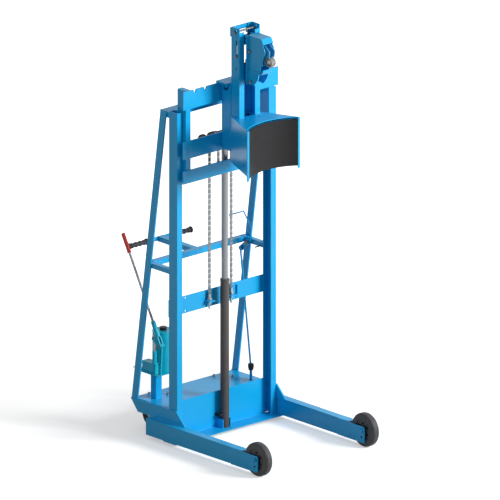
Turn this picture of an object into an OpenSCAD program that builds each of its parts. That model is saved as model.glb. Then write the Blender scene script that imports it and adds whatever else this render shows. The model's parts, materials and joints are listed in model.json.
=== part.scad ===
/* [Legs] */
// Outer spacing of the two floor legs
leg_span = 876; // [860:2:896]
// Width of a leg tube
leg_w = 50; // [44:1:52]
// Height of a leg tube
leg_h = 100; // [90:1:104]
// Wall of the leg tubes
leg_t = 4; // [3:0.5:5]
// Underside of the legs above the floor
leg_z = 27; // [22:1:30]
// Rear end of the legs behind the posts' front face
leg_rear = 208; // [190:2:215]
// Front end of the leg tubes ahead of the posts
leg_front = 622; // [560:2:640]
// Thickness of a fork side plate
fork_t = 6; // [4:0.5:8]
// Start of the fork side plates ahead of the posts
fork_start = 529; // [500:1:550]
// Front end of the fork side plates
fork_end = 759; // [750:1:775]
// Corner radius of a fork side plate
fork_r = 12; // [6:1:18]

/* [Front wheels] */
// Tyre diameter of a front wheel
fw_d = 200; // [180:2:206]
// Tread width of a front wheel
fw_w = 46; // [36:1:48]
// Axle position ahead of the posts
fw_y = 734; // [725:1:740]
// Hub diameter of a front wheel
fw_hub_d = 128; // [110:2:140]
// Axle diameter of a front wheel
fw_axle_d = 15; // [12:0.5:20]

/* [Floor frame] */
// Thickness of the base and side plates
plate_t = 5; // [4:0.5:6]
// Front edge of the base plate ahead of the posts
base_front = 46; // [30:1:60]
// Height of the front plate's top edge
front_plate_top = 240; // [225:1:260]
// Height of the side plates' upper edge
side_top = 205; // [195:1:215]
// Rear corner of the side plates' upper edge
side_rear = 389; // [380:1:400]
// Depth of the rear plate under the decks
rear_plate_drop = 34; // [20:1:40]

/* [Castors] */
// Wheel diameter of a castor
cw_d = 150; // [130:2:160]
// Wheel width of a castor
cw_w = 40; // [30:1:44]
// Swivel axis to the side of the middle
cs_x = 251; // [245:1:256]
// Swivel axis behind the posts' front face
cs_y = 308; // [300:1:312]
// Trail between the swivel axis and the wheel axle
cs_trail = 46; // [30:1:50]
// Bolt spacing across a castor plate
cs_bolt_x = 72; // [60:1:80]
// Bolt spacing along a castor plate
cs_bolt_y = 80; // [66:1:84]

/* [Mast] */
// Half the outer spacing of the mast posts
post_x = 383; // [375:1:388]
// Flange width of a mast post
post_w = 40; // [36:1:44]
// Depth of a mast post
post_d = 70; // [66:1:76]
// Wall of a mast post
post_t = 5; // [4:0.5:6]
// Height of the mast posts' top
post_top = 2002; // [1950:2:2060]
// Depth of the mast's top tie
tie_d = 76; // [60:1:90]
// Height of the top tie
tie_h = 34; // [24:1:44]
// Width of a rear brace
brace_w = 49; // [40:1:55]
// Thickness of a rear brace
brace_t = 9; // [6:0.5:10]
// Brace front edge behind the posts at the top
brace_top_y = 85; // [76:1:92]
// Brace front edge behind the posts at the foot
brace_foot_y = 332; // [325:1:336]

/* [Chain anchor plate] */
// Underside of the chain anchor plate
anchor_z = 755; // [700:5:800]
// Height of the chain anchor plate
anchor_h = 104; // [90:1:120]
// Thickness of the chain anchor plate
anchor_t = 6; // [5:0.5:8]
// Bolt hole spacing across the plate
hole_dx = 64; // [50:1:70]
// Bolt hole spacing up the plate
hole_dz = 78; // [60:1:84]
// Diameter of the plate's bolt holes
hole_d = 13; // [9:0.5:16]
// Bolt hole group's centre left of the middle
hole_x = 285; // [250:1:300]

/* [Handle] */
// Underside of the handle frame
hand_z = 1017; // [980:1:1060]
// Height of the handle frame's members
hand_h = 30; // [25:1:35]
// Front face of the rear cross bar
hand_y = 235; // [225:1:245]
// Depth of the rear cross bar
hand_d = 40; // [34:1:46]
// Width of the centre stem
stem_w = 40; // [30:1:50]
// Axis of the handle tube behind the posts
tube_y = 574; // [520:1:580]
// Diameter of the handle tube
tube_d = 25; // [20:1:28]
// Length of the handle tube
tube_l = 474; // [400:2:476]
// Length of a hand grip
grip_l = 140; // [110:1:150]
// Largest diameter of a hand grip
grip_d = 32; // [30:1:36]

/* [Lift cylinder] */
// Cylinder axis behind the posts' front face
cyl_y = 17; // [16:0.5:18]
// Outer diameter of the barrel
cyl_d = 52; // [46:1:56]
// Wall of the barrel
cyl_t = 5; // [4:0.5:6]
// Height of the barrel's top
cyl_top = 905; // [860:1:940]
// Diameter of the lift rod
rod_d = 38; // [30:1:40]
// Gland height at the barrel's top
gland_h = 16; // [12:1:24]

/* [Crosshead and chains] */
// Height of the sheave axle in the raised pose
sheave_z = 1786; // [1760:1:1790]
// Sideways distance of a chain from the middle
chain_x = 84; // [80:1:90]
// Pitch radius of a chain on its sheave
sheave_r = 38; // [34:0.5:38]
// Flange radius of a sheave
sheave_flange_r = 42; // [39:0.5:42]
// Width of a sheave
sheave_w = 40; // [30:1:44]
// Chain width
chain_w = 20; // [14:1:24]
// Chain thickness
chain_t = 7; // [5:0.5:8]

/* [Carriage] */
// Underside of the carriage uprights in the raised pose
car_z = 1579; // [1560:1:1600]
// Height of the carriage uprights
car_h = 557; // [540:1:580]
// Inner half spacing of the carriage uprights
car_x = 303; // [290:1:310]
// Depth of a carriage upright
car_d = 72; // [60:1:74]
// Front face of the cross bars ahead of the posts
bar_front = 36; // [36:0.5:38]
// Thickness of a cross bar
bar_t = 9; // [7:0.5:9]
// Height of the top bar
bar_top_h = 110; // [100:1:120]
// Height of the middle bar
bar_mid_h = 107; // [95:1:115]
// Underside of the middle bar
bar_mid_z = 1727; // [1710:1:1740]
// Height of the lower bar
bar_low_h = 78; // [60:1:85]
// Outer half length of the bars
bar_x = 367; // [360:1:370]
// Diameter of a carriage roller
roll_d = 57; // [50:1:58]
// Axle height of the lower rollers above the carriage's foot
roll_low = 40; // [35:1:60]
// Axle height of the upper rollers above the carriage's foot
roll_high = 360; // [340:1:380]

/* [Head] */
// Half width of the head box
box_x = 80; // [76:1:84]
// Front face of the head box ahead of the posts
box_front = 125; // [120:1:127]
// Rear face of the head box ahead of the posts
box_rear = 52; // [50:1:56]
// Underside of the head box
box_z = 1740; // [1734:1:1780]
// Height of the head box's low rear top edge
box_low_top = 2100; // [2080:1:2110]
// Height of the head box's front top corner
box_high_top = 2150; // [2120:1:2152]
// Plate thickness of the head parts
head_t = 6; // [5:0.5:8]
// Half width of the hook plate
hook_x = 100; // [90:1:110]
// Width of a head column's side
col_d = 69; // [60:1:72]
// Width of a head column's flange
col_w = 38; // [30:1:40]
// Gap between the head box and the columns
col_gap = 4; // [2:0.5:8]
// Top of the head columns
col_top = 2494; // [2480:1:2520]
// Diameter of a column's side hole
col_hole_d = 12; // [8:0.5:14]

/* [Drum cradle] */
// Radius of the cradle's steel arc
arc_r = 334; // [330:1:338]
// Centre of the cradle's arc ahead of the posts
arc_y = 665; // [660:1:668]
// Thickness of the rubber pad
pad_t = 13; // [10:0.5:15]
// Thickness of the steel arc plate
arc_t = 6; // [4:0.5:8]
// Half width of the cradle at its tips
cradle_x = 204; // [196:1:208]
// Front edge of the cheeks ahead of the posts
cradle_y = 400; // [394:1:404]
// Underside of the cradle cheeks
cradle_z = 1679; // [1670:1:1690]
// Top of the cradle's cheeks
cradle_top = 1954; // [1950:1:1956]
// Depth of the bright strip at the cradle's tips
tip_w = 15; // [10:1:18]

/* [Clamp head] */
// Width of the clamp head
clamp_w = 77; // [70:1:80]
// Rear face of the clamp head ahead of the posts
clamp_rear = 226; // [222:1:230]
// Bend of the hood ahead of the posts
clamp_bend = 340; // [330:1:345]
// Nose of the hood ahead of the posts
clamp_nose = 359; // [350:1:365]
// Underside of the clamp head
clamp_z = 2165; // [2155:1:2175]
// Top of the hood
clamp_top = 2459; // [2440:1:2464]
// Height of the nose's lower edge
clamp_nose_z = 2429; // [2420:1:2440]
// Overlap line of the lower plates
clamp_lap = 2255; // [2240:1:2270]
// Front edge of the lower plates ahead of the posts
clamp_foot = 279; // [265:1:290]
// Width of a guide flange
flange_w = 15; // [10:1:18]
// Plate thickness of the clamp
clamp_t = 5; // [4:0.5:6]
// Travel of the clamp head down the columns
clamp_travel = 170; // [120:5:178]
// Jaw pivot ahead of the posts
jaw_y = 243; // [243:1:250]
// Jaw pivot height
jaw_z = 2364; // [2356:1:2370]
// Spacing of the jaw arms
jaw_gap = 33; // [30:1:40]
// Thickness of a jaw arm
jaw_t = 6; // [4:0.5:8]
// Outer diameter of the jaw's beak
jr_d = 56; // [50:1:58]
// Middle of the beak ahead of the posts
jr_y = 377; // [374:1:380]
// Height of the beak's middle
jr_z = 2322; // [2320:1:2330]
// Diameter of the jaw pin
jaw_pin_d = 14; // [10:1:16]

/* [Pump] */
// Outer width of the pump stand
stand_w = 45; // [40:1:50]
// Stand axis left of the middle
stand_x = 298.5; // [292:0.5:302]
// Stand axis behind the posts
stand_y = 273; // [266:1:280]
// Height of the pump's base plate
pump_z = 345; // [330:1:355]
// Pump shaft pivot left of the middle
lever_x = 300; // [296:1:304]
// Pump lever pivot behind the posts
lever_y = 229; // [225:1:234]
// Pump lever pivot height
lever_z = 528; // [515:1:540]
// Lean of the pump lever to the rear in degrees
lever_lean = 28.7; // [26:0.1:30]
// Pump lever length from the pivot to the grip's end
lever_l = 686; // [620:2:690]
// Pump lever rod diameter
lever_d = 15; // [12:0.5:18]
// Grip diameter of the pump lever
lgrip_d = 23; // [20:0.5:25]
// Grip length of the pump lever
lgrip_l = 118; // [100:1:130]
// Reservoir axis left of the middle
res_x = 215; // [211:1:220]
// Reservoir diameter
res_d = 126; // [116:1:128]
// Reservoir top height
res_top = 588; // [560:1:610]
// Plunger diameter
plunger_d = 15; // [12:0.5:17]

/* [Floor lock] */
// Floor lock pivot behind the posts
lock_y = 193; // [186:1:200]
// Diameter of the bent hand rod
lock_d = 8; // [6:0.5:10]
// Height of the rod's coupling
couple_z = 275; // [262:1:290]

/* [Hidden] */
$fn = 48;
// Clearances and fits
run = 0.05;           // radial running fit
gap = 0.3;            // gap between curved faces
slip = 1;             // side gap of moving pieces
eps = 1;              // overrun of a cut
// Small fasteners
bolt_d = 12;          // shank diameter of the bolts
head_d = 20;          // diameter of their heads
head_h = 7;           // height of their heads
// Floor frame
leg_in = leg_span / 2 - leg_w;
leg_top = leg_z + leg_h;
base_rear = 60;
front_y = 52;
fw_z = fw_d / 2;
spare_dz = 40;
fork_gap = 2;
side_out = leg_in + plate_t;
side_front = 78;
side_fall = 5;
side_foot = 328;
deck_z = cw_d + 50;
deck_top = deck_z + plate_t;
rear_y = side_rear - 26;
rear_drop_z = deck_top - rear_plate_drop;
swivel_d = 60;
// Mast
anchor_y = post_d;
mast_z = leg_z;
tie_top = post_top - 7;
arm_in = post_x - 33;
brace_top_z = post_top - 2;
brace_foot = side_top - side_fall * brace_foot_y / side_rear;
stem_len = tube_y - hand_y - hand_d;
grip_end = 38;
fin_x = 92;
chain_rear_y = cyl_y + sheave_r;
chain_front_y = cyl_y - sheave_r;
lug_w = 46;
lug_t = 8;
anchor_top = anchor_z + 45;
stud_d = 12;
// Carriage
bar_rear = -bar_front + bar_t;
up_w = 37;
roll_w = 30;
roll_y = post_d / 2;
roll_pin = 20;
roll_x = post_x - post_t - slip * 1.5 - roll_w / 2;
bars_top = car_z + car_h;
low_top = car_z + bar_low_h;
disc_x = 165;
disc_w = 14;
shaft_d = 24;
block_w = 70;
block_h = 70;
// Head
hook_t = 12;
hook_rear = 20;
hook_front = 106;
hook_lip = 11;
col_rear = box_front + col_gap;
col_front = col_rear + col_d;
notch_in = 196;
notch_out = 276;
col_tie_h = 24;
tie_pad_h = 56;
tie_z = col_top - col_tie_h - 4;
tie_bolt_y = col_rear + 34;
tie_bolt_z = col_top - 24;
side_bolt_z = col_top - 168;
slot_y = col_front - 24;
arc_out = arc_r + arc_t;
pad_in = arc_r - pad_t;
saddle_z = cradle_z - 15;
saddle_h = 280;
clamp_in = clamp_w / 2 - clamp_t;
shoe_y = 56;
jaw_hub = jaw_pin_d + 8;
beak_t = 9;
beak_y = jr_y - 25;
rim_y = arc_y - pad_in + 2;
shoe_h = 40;
upper_shoe = clamp_top - shoe_h - 29;
lower_shoe_h = 110;
// Pump
plunger_dy = 58;
plunger_y = lever_y + plunger_dy;
pin_dz = 32;
pump_top = pump_z + plate_t;
block_top = pump_top + 59;
block_out = lever_x + 14;
block_in = lever_x - 38;
base_rear_y = 385;
ped_y = base_rear_y + 8;
res_y = 306;
res_t = 4;
// Floor lock
crank_x = arm_in - 11;
crank_t = 6;
rod_x = crank_x - 9;
tie_y = 53;
tie_dz = 47;
hand_mid = hand_z + hand_h / 2;
lock_z = hand_z + 10;
foot_y = 158;
front_end = fw_y + fw_d / 2;
shift = (front_end - tube_y - grip_end / 2) / 2;
ram_stroke = 765;     // how far the rod sinks from its raised place
rod_foot = leg_z + 32 + ram_stroke;

// Moves a piece from the posts' front face to the part's own origin
module at() { translate([0, shift, 0]) children(); }

// Copies a piece from the right to the left
module both() {
  children();
  mirror([1, 0, 0]) children();
}

// Box between two opposite corners
module box(a, b) { translate(a) cube(b - a); }

// Cylinder along X, centred on x
module xcyl(x, y, z, d, l) { translate([x - l / 2, y, z]) rotate([0, 90, 0]) cylinder(d = d, h = l); }

// Cylinder along Y from y
module ycyl(x, y, z, d, l) { translate([x, y, z]) rotate([-90, 0, 0]) cylinder(d = d, h = l); }

// Upright cylinder from z
module zcyl(x, y, z, d, l) { translate([x, y, z]) cylinder(d = d, h = l); }

// Plate across X from an outline of [y, z] points
module side(x, t, pts) { translate([x, 0, 0]) rotate([90, 0, 90]) linear_extrude(t) polygon(pts); }

// Flat link across X between two round ends, a and b given as [y, z]
module link(x, t, a, b, da, db) {
  v = b - a;
  l = norm(v);
  d = atan2(v[1], v[0]);
  f = acos((da - db) / 2 / l);
  k = 0.498;
  side(x - t / 2, t, [for (c = [[a, da, f], [b, db, f], [b, db, -f], [a, da, -f]])
    c[0] + c[1] * k * [cos(d + c[2]), sin(d + c[2])]]);
  xcyl(x, a[0], a[1], da, t);
  xcyl(x, b[0], b[1], db, t);
}

// Two floor legs of rectangular tube
module legs() {
  color("#1579c0") at() both() difference() {
    box([leg_in, -leg_front, leg_z], [leg_in + leg_w, leg_rear, leg_top]);
    box([leg_in + leg_t, -leg_front - eps, leg_z + leg_t],
        [leg_in + leg_w - leg_t, leg_rear - leg_t, leg_top - leg_t]);
  }
}

// Outline of a fork side plate, round at its front corners
module fork_outline() {
  h = leg_h - fork_gap;
  translate([fork_start, leg_z]) square([fork_end - fork_start - fork_r, h]);
  for (z = [fork_r, h - fork_r]) translate([fork_end - fork_r, leg_z + z]) circle(fork_r);
  translate([fork_end - fork_r * 2, leg_z + fork_r]) square([fork_r * 2, h - fork_r * 2]);
}

// Fork plates on both sides of each front wheel
module fork_plates() {
  color("#1579c0") at() both() for (x = [leg_in - fork_t, leg_in + leg_w]) difference() {
    translate([x + fork_t, 0, 0]) rotate([90, 0, -90]) linear_extrude(fork_t) fork_outline();
    xcyl(x + fork_t / 2, -fw_y, fw_z, fw_axle_d + run * 2, fork_t + eps * 2);
    xcyl(x + fork_t / 2, -fw_y, fw_z - spare_dz, fw_axle_d + run * 2, fork_t + eps * 2);
  }
}

// Axle bolts of the front wheels with head and nut
module wheel_axles() {
  out = leg_in + leg_w + fork_t;
  in = leg_in - fork_t;
  color("silver") at() both() {
    xcyl((out + in) / 2, -fw_y, fw_z, fw_axle_d, out - in);
    xcyl(out + head_h / 2, -fw_y, fw_z, fw_axle_d * 1.8, head_h);
    xcyl(in - head_h / 2, -fw_y, fw_z, fw_axle_d * 1.8, head_h);
  }
}

// Tyre with rounded shoulders, axis along X
module tyre(x) {
  r = fw_d / 2;
  s = 13;
  w = fw_w / 2;
  at() translate([x, -fw_y, fw_z]) rotate([0, 90, 0]) rotate_extrude($fn = 72)
    difference() {
      union() {
        translate([fw_hub_d / 2, -w]) square([r - s - fw_hub_d / 2, w * 2]);
        translate([r - s - eps, -w + s]) square([s + eps, (w - s) * 2]);
        for (z = [s - w, w - s]) translate([r - s, z]) circle(s);
      }
      translate([0, -w - eps]) square([fw_hub_d / 2, w * 2 + eps * 2]);
    }
}

// Stepped hub of a front wheel
module hub(x) {
  w = leg_w - slip * 2;
  at() translate([x, -fw_y, fw_z]) rotate([0, 90, 0]) difference() {
    union() {
      translate([0, 0, -fw_w / 2 + 4]) cylinder(d = fw_hub_d, h = fw_w - 8);
      translate([0, 0, -w / 2]) cylinder(d = fw_axle_d * 2.6, h = w);
    }
    translate([0, 0, -w]) cylinder(d = fw_axle_d + run * 2, h = w * 2);
    for (a = [0:60:300]) rotate([0, 0, a]) translate([fw_hub_d / 3.1, 0, -w])
      cylinder(d = fw_hub_d / 9, h = w * 2);
  }
}
module front_tyre_left() { color("#33332f") tyre(-leg_in - leg_w / 2); }
module front_tyre_right() { color("#33332f") tyre(leg_in + leg_w / 2); }
module front_hub_left() { color("#161616") hub(-leg_in - leg_w / 2); }
module front_hub_right() { color("#161616") hub(leg_in + leg_w / 2); }

// Base plate, front plate, side plates and the floor lock's rod guide
module floor_plates() {
  x = leg_in + leg_w;
  color("#1579c0") at() {
    box([-x, -base_front, leg_z - plate_t], [x, base_rear, leg_z]);
    box([-post_in(), front_y, leg_z], [post_in(), front_y + plate_t, front_plate_top]);
    both() side(post_x, side_out - post_x,
      [[0, side_top], [side_rear, side_top - side_fall], [side_foot, leg_top], [-side_front, leg_top]]);
    difference() {
      box([rod_x - 14, foot_y - 16, deck_z - 8], [post_x, foot_y + 16, deck_z]);
      zcyl(rod_x, foot_y, deck_z - 20, lock_d * 2 + slip * 2, 40);
    }
  }
}
function post_in() = post_x - post_w;

// Deck sheet between the side plates with a rear cross plate
module rear_deck() {
  color("#1579c0") at() difference() {
    union() {
      box([-post_x, rear_y, rear_drop_z], [post_x, rear_y + plate_t, deck_top]);
      box([-post_in(), front_y + plate_t, deck_z], [post_in(), rear_y, deck_top]);
      both() box([post_in() - eps, post_d + gap, deck_z], [post_x, rear_y, deck_top]);
    }
    both() castor_holes(bolt_d + slip);
    zcyl(rod_x, foot_y, deck_z - eps, lock_d * 2 + slip * 2, plate_t * 2);
  }
}

// Four upright holes or bolts of a castor plate
module castor_holes(d) {
  for (x = [-1, 1], y = [-1, 1]) zcyl(cs_x + x * cs_bolt_x / 2, cs_y + y * cs_bolt_y / 2,
    deck_z - plate_t - head_h, d, plate_t * 2 + head_h * 2);
}

// Castor top plates, swivel races and their bolts
module castor_plates() {
  color("silver") at() both() {
    difference() {
      box([cs_x - cs_bolt_x / 2 - 12, cs_y - cs_bolt_y / 2 - 12, deck_z - plate_t],
          [cs_x + cs_bolt_x / 2 + 12, cs_y + cs_bolt_y / 2 + 12, deck_z]);
      castor_holes(bolt_d + slip);
    }
    zcyl(cs_x, cs_y, deck_z - plate_t - 12, swivel_d, 12);
    for (x = [-1, 1], y = [-1, 1]) translate([cs_x + x * cs_bolt_x / 2, cs_y + y * cs_bolt_y / 2, 0]) {
      zcyl(0, 0, deck_z - plate_t - head_h, bolt_d - slip, plate_t * 2 + head_h * 2);
      zcyl(0, 0, deck_z - plate_t - head_h, head_d - 4, head_h - gap);
      zcyl(0, 0, deck_top + gap, head_d - 4, head_h - gap);
    }
  }
}

// Castor fork: crown, two legs and an axle
module castor_fork(x) {
  crown_z = deck_z - plate_t - 12 - slip;
  leg_gap = cw_w + 6;
  at() translate([x, cs_y, 0]) {
    difference() {
      union() {
        zcyl(0, 0, crown_z - 6, swivel_d, 6);
        box([-leg_gap / 2 - 4, 0, crown_z - 6], [leg_gap / 2 + 4, 38, crown_z]);
        for (s = [-1, 1]) side(s * (leg_gap / 2 + 2) - 2, 4, [[-14, crown_z], [38, crown_z],
          [cs_trail + 14, cw_d / 2 - 12], [cs_trail - 14, cw_d / 2 - 12]]);
      }
      xcyl(0, cs_trail, cw_d / 2, bolt_d + run * 2, leg_gap * 2);
    }
    xcyl(0, cs_trail, cw_d / 2, bolt_d, leg_gap + 8);
    for (s = [-1, 1]) xcyl(s * (leg_gap / 2 + 4 + 3), cs_trail, cw_d / 2, head_d, 6);
  }
}

// Castor wheel with a crowned tread and side recesses
module castor_wheel(x) {
  r = cw_d / 2;
  w = cw_w / 2;
  at() translate([x, cs_y + cs_trail, r]) rotate([0, 90, 0]) rotate_extrude($fn = 60) polygon([
    [bolt_d / 2 + run, -w - 2], [18, -w - 2], [18, -w + 6], [r * 0.68, -w + 6], [r * 0.72, -w],
    [r - 6, -w], [r - 1, -w + 6], [r, 0], [r - 1, w - 6], [r - 6, w], [r * 0.72, w],
    [r * 0.68, w - 6], [18, w - 6], [18, w + 2], [bolt_d / 2 + run, w + 2]]);
}
module castor_fork_left() { color("silver") castor_fork(-cs_x); }
module castor_fork_right() { color("silver") castor_fork(cs_x); }
module castor_wheel_left() { color("#26262a") castor_wheel(-cs_x); }
module castor_wheel_right() { color("#26262a") castor_wheel(cs_x); }

// Mast posts: channels that face each other
module mast_posts() {
  color("#1579c0") at() both() difference() {
    box([post_in(), 0, mast_z], [post_x, post_d, post_top]);
    box([post_in() - eps, post_t, mast_z - eps], [post_x - post_t, post_d - post_t, post_top + eps]);
  }
}

// Tie behind the posts' tops
module top_tie() {
  color("#1579c0") at() difference() {
    box([-post_x, post_d, tie_top - tie_h], [post_x, post_d + tie_d, tie_top]);
    box([-post_x + post_t, post_d + post_t, tie_top - tie_h - eps],
        [post_x - post_t, post_d + tie_d - post_t, tie_top - post_t]);
  }
}

// Raking braces from the post tops to the side plates
module rear_braces() {
  slope = (brace_foot_y - brace_top_y) / (brace_top_z - brace_foot);
  color("#1579c0") at() both() side(post_x, brace_t, [
    [brace_top_y, brace_top_z], [brace_top_y + brace_w, brace_top_z],
    [brace_foot_y + brace_w, side_top - side_fall * (brace_foot_y + brace_w) / side_rear],
    [brace_foot_y, brace_foot]]);
}

// Cross plate with anchor brackets, a fin and a bolt hole group
module chain_plate() {
  color("#1579c0") at() difference() {
    union() {
      box([-post_x, anchor_y, anchor_z], [post_x, anchor_y + anchor_t, anchor_z + anchor_h]);
      both() box([chain_x - lug_w / 2, chain_rear_y - 25, anchor_top - lug_t],
                 [chain_x + lug_w / 2, anchor_y, anchor_top]);
      both() side(chain_x + lug_w / 2 - plate_t, plate_t, [[anchor_y - 14, anchor_top - lug_t],
        [anchor_y, anchor_top - lug_t], [anchor_y, anchor_z + 6]]);
      box([fin_x - 3 + lug_w, anchor_y - 12, anchor_z + 20],
        [fin_x + 2 + lug_w, anchor_y, anchor_z + anchor_h - 16]);
    }
    for (x = [-1, 1], z = [-1, 1])
      ycyl(x * hole_dx / 2 - hole_x, anchor_y - eps, anchor_z + anchor_h / 2 + z * hole_dz / 2,
        hole_d, anchor_t + eps * 2);
    both() zcyl(chain_x, chain_rear_y, anchor_top - lug_t - eps, stud_d + run * 2, lug_t + eps * 2);
  }
}

// Threaded chain anchors with a nut above and below the bracket
module chain_anchors() {
  color("#c9cdd0") at() both() translate([chain_x, chain_rear_y, anchor_top]) {
    translate([0, 0, -52]) cylinder(d = stud_d, h = 52 + 40);
    cylinder(r = 15, h = 16, $fn = 6);
    translate([0, 0, -lug_t - 13]) cylinder(r = 12, h = 13, $fn = 6);
    translate([0, 0, 40 - 25]) cylinder(d = stud_d + 9, h = 25);
  }
}

// Handle frame: side arms, cross bar and centre stem
module handle_frame() {
  color("#1579c0") at() {
    both() difference() {
      box([arm_in, post_d, hand_z], [post_x, hand_y + hand_d, hand_z + hand_h]);
      box([arm_in + plate_t, post_d - eps, hand_z + plate_t],
          [post_x - plate_t, hand_y, hand_z + hand_h - plate_t]);
    }
    difference() {
      box([-arm_in, hand_y, hand_z], [arm_in, hand_y + hand_d, hand_z + hand_h]);
      box([-arm_in + plate_t, hand_y + plate_t, hand_z - eps],
          [arm_in - plate_t, hand_y + hand_d - plate_t, hand_z + hand_h - plate_t]);
    }
    difference() {
      box([-stem_w / 2, hand_y + hand_d, hand_z], [stem_w / 2, tube_y, hand_z + hand_h]);
      xcyl(0, tube_y, hand_mid, tube_d + run * 2, stem_w + eps * 2);
    }
  }
}

// Handle tube across the stem's end
module handle_tube() {
  color("#1579c0") at() xcyl(0, tube_y, hand_mid, tube_d, tube_l);
}

// Finger-shaped grips with end flanges
module handle_grips() {
  n = 4;
  p = (grip_l - 12) / n;
  color("#3c3f42") at() both() translate([tube_l / 2 + 4, tube_y, hand_mid]) rotate([0, -90, 0])
    difference() {
      rotate_extrude() union() {
        translate([0, 0]) square([grip_end / 2, 6]);
        translate([0, grip_l - 6]) square([grip_end / 2, 6]);
        square([grip_d / 2 - 3, grip_l]);
        for (i = [0:n - 1]) intersection() {
          translate([grip_d / 2 - 22, 6 + p * (i + 0.5)]) circle(22);
          translate([0, 6]) square([grip_d, grip_l - 12]);
        }
      }
      translate([0, 0, 4]) cylinder(d = tube_d, h = grip_l);
    }
}

// Cylinder barrel with its bore, gland ring and weld ring
module cylinder_barrel() {
  color("#4a3f3a") at() translate([0, cyl_y, 0]) difference() {
    union() {
      zcyl(0, 0, leg_z, cyl_d, cyl_top - leg_z);
      zcyl(0, 0, cyl_top, cyl_d + 2, gland_h);
      zcyl(0, 0, leg_top - 9, cyl_d + 3, 5);
    }
    zcyl(0, 0, leg_z + 30, rod_d + 4, cyl_top - leg_z - 30);
    zcyl(0, 0, cyl_top - eps, rod_d + run * 2, gland_h + eps * 2);
  }
}

// Foot cheeks of the cylinder on the front plate
module cylinder_foot() {
  r = cyl_d / 2;
  color("#1579c0") at() difference() {
    union() {
      both() box([r + gap, cyl_y - 20, leg_z], [r + gap + plate_t, front_y, leg_z + 50]);
      box([-r, cyl_y + r + gap, leg_z + 36], [r, front_y, leg_z + 42]);
    }
    zcyl(0, cyl_y, leg_z - eps, cyl_d + gap * 2, 70);
  }
}

// Port boss and inlet pipe on the cylinder's left side
module inlet_elbow() {
  z = leg_z + 76;
  x = cyl_d / 2 + 10;
  color("#8a7a3a") at() {
    difference() {
      translate([-cyl_d / 2 - 12, cyl_y, z]) rotate([0, 90, 0]) cylinder(d = 20, h = 20);
      zcyl(0, cyl_y, z - 20, cyl_d, 40);
    }
    ycyl(-x - 2, cyl_y, z, 12, front_y - cyl_y - 6);
    translate([-x - 2, cyl_y, z]) sphere(d = 12);
    translate([-x - 2, front_y - 8, z]) rotate([-90, 0, 0]) cylinder(r = 10, h = 8, $fn = 6);
  }
}

// Pump stand tube on the left castor deck
module pump_stand() {
  x = stand_x;
  w = stand_w / 2;
  color("#1579c0") at() difference() {
    box([-x - w, stand_y - w, deck_top], [-x + w, stand_y + w, pump_z]);
    box([-x - w + 3, stand_y - w + 3, deck_top - eps], [-x + w - 3, stand_y + w - 3, pump_z + eps]);
  }
}

// Pump base, valve block, pump barrel, link bar and pedal ears
module pump_block() {
  color("#12b9c9") at() difference() {
    union() {
      box([-lever_x - 30, lever_y - 1, pump_z], [-res_x + res_d / 2, base_rear_y, pump_top]);
      box([-block_out, plunger_y - 16, pump_top], [-block_in, base_rear_y - 8, block_top]);
      zcyl(-lever_x, plunger_y, block_top, 26, 74);
      side(-lever_x - 5, 10, [[lever_y, pump_top], [lever_y + 20, pump_top],
        [lever_y + 10, lever_z], [lever_y - 10, lever_z]]);
      xcyl(-lever_x, lever_y, lever_z, 24, 10);
      xcyl(-lever_x, lever_y + 9, pump_top + 62, 22, 14);
      for (x = [-lever_x - 9, -lever_x + 25]) side(x, 5, [[base_rear_y, pump_z],
        [ped_y + 6, pump_z], [ped_y + 6, pump_top + 9], [base_rear_y, pump_top + 9]]);
    }
    zcyl(-res_x, res_y, pump_top, res_d + gap * 2, block_top);
    zcyl(-lever_x, plunger_y, pump_top + 10, plunger_d + run * 2, 200);
    xcyl(-lever_x, lever_y, lever_z, jaw_pin_d - 2 + run * 2, 40);
    xcyl(-lever_x, lever_y + 9, pump_top + 62, 9, 40);
    side(-lever_x - 8, 16, [[lever_y - 2, lever_z - 22], [lever_y + 4, lever_z - 22],
      [lever_y + 9, pump_top + 82], [lever_y + 3, pump_top + 82]]);
    xcyl(-lever_x + 10, ped_y, pump_top + 3, 6, 60);
    ycyl(-block_in - 9, base_rear_y - 30, pump_top + 30, 10, 60);
  }
}

// Oil reservoir with a rim
module pump_reservoir() {
  color("#12b9c9") at() {
    difference() {
      zcyl(-res_x, res_y, pump_top, res_d, res_top - pump_top - 8);
      zcyl(-res_x, res_y, pump_top - eps, res_d - res_t * 2, res_top - pump_top - 8 - res_t);
    }
    zcyl(-res_x, res_y, res_top - 8, res_d + 2, 8);
  }
}

// Black filler cap with grip flats
module filler_cap() {
  color("#151515") at() difference() {
    zcyl(-res_x, res_y, res_top, 40, 20);
    for (a = [0:30:330]) translate([-res_x, res_y, res_top + 5]) rotate([0, 0, a])
      translate([21, 0, 0]) cylinder(d = 5, h = 20);
  }
}

// Steel pins of the lever and the release pedal
module lever_pin() {
  color("silver") at() {
    xcyl(-lever_x, lever_y, lever_z, jaw_pin_d - 2, 30);
    for (s = [-1, 1]) xcyl(-lever_x + s * 16.5, lever_y, lever_z, head_d - 1, 3);
    xcyl(-lever_x + 10, ped_y, pump_top + 3, 6, 44);
  }
}

// Release pedal on its pin
module release_pedal() {
  z = pump_top + 3;
  color("#12b9c9") at() difference() {
    union() {
      xcyl(-lever_x + 10.5, ped_y, z, 11, 27);
      box([-lever_x - 3, ped_y, z - 4], [-lever_x + 24, ped_y + 54, z + 1]);
      side(-lever_x - 3, 27, [[ped_y + 50, z - 4], [ped_y + 50, z + 1], [ped_y + 78, z - 9],
        [ped_y + 78, z - 14]]);
    }
    xcyl(-lever_x + 10.5, ped_y, z, 6 + run * 2, 40);
  }
}

// Places a piece along the leaning lever from its pivot
module lean() { at() translate([-lever_x, lever_y, lever_z]) rotate([-lever_lean, 0, 0]) children(); }

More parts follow.
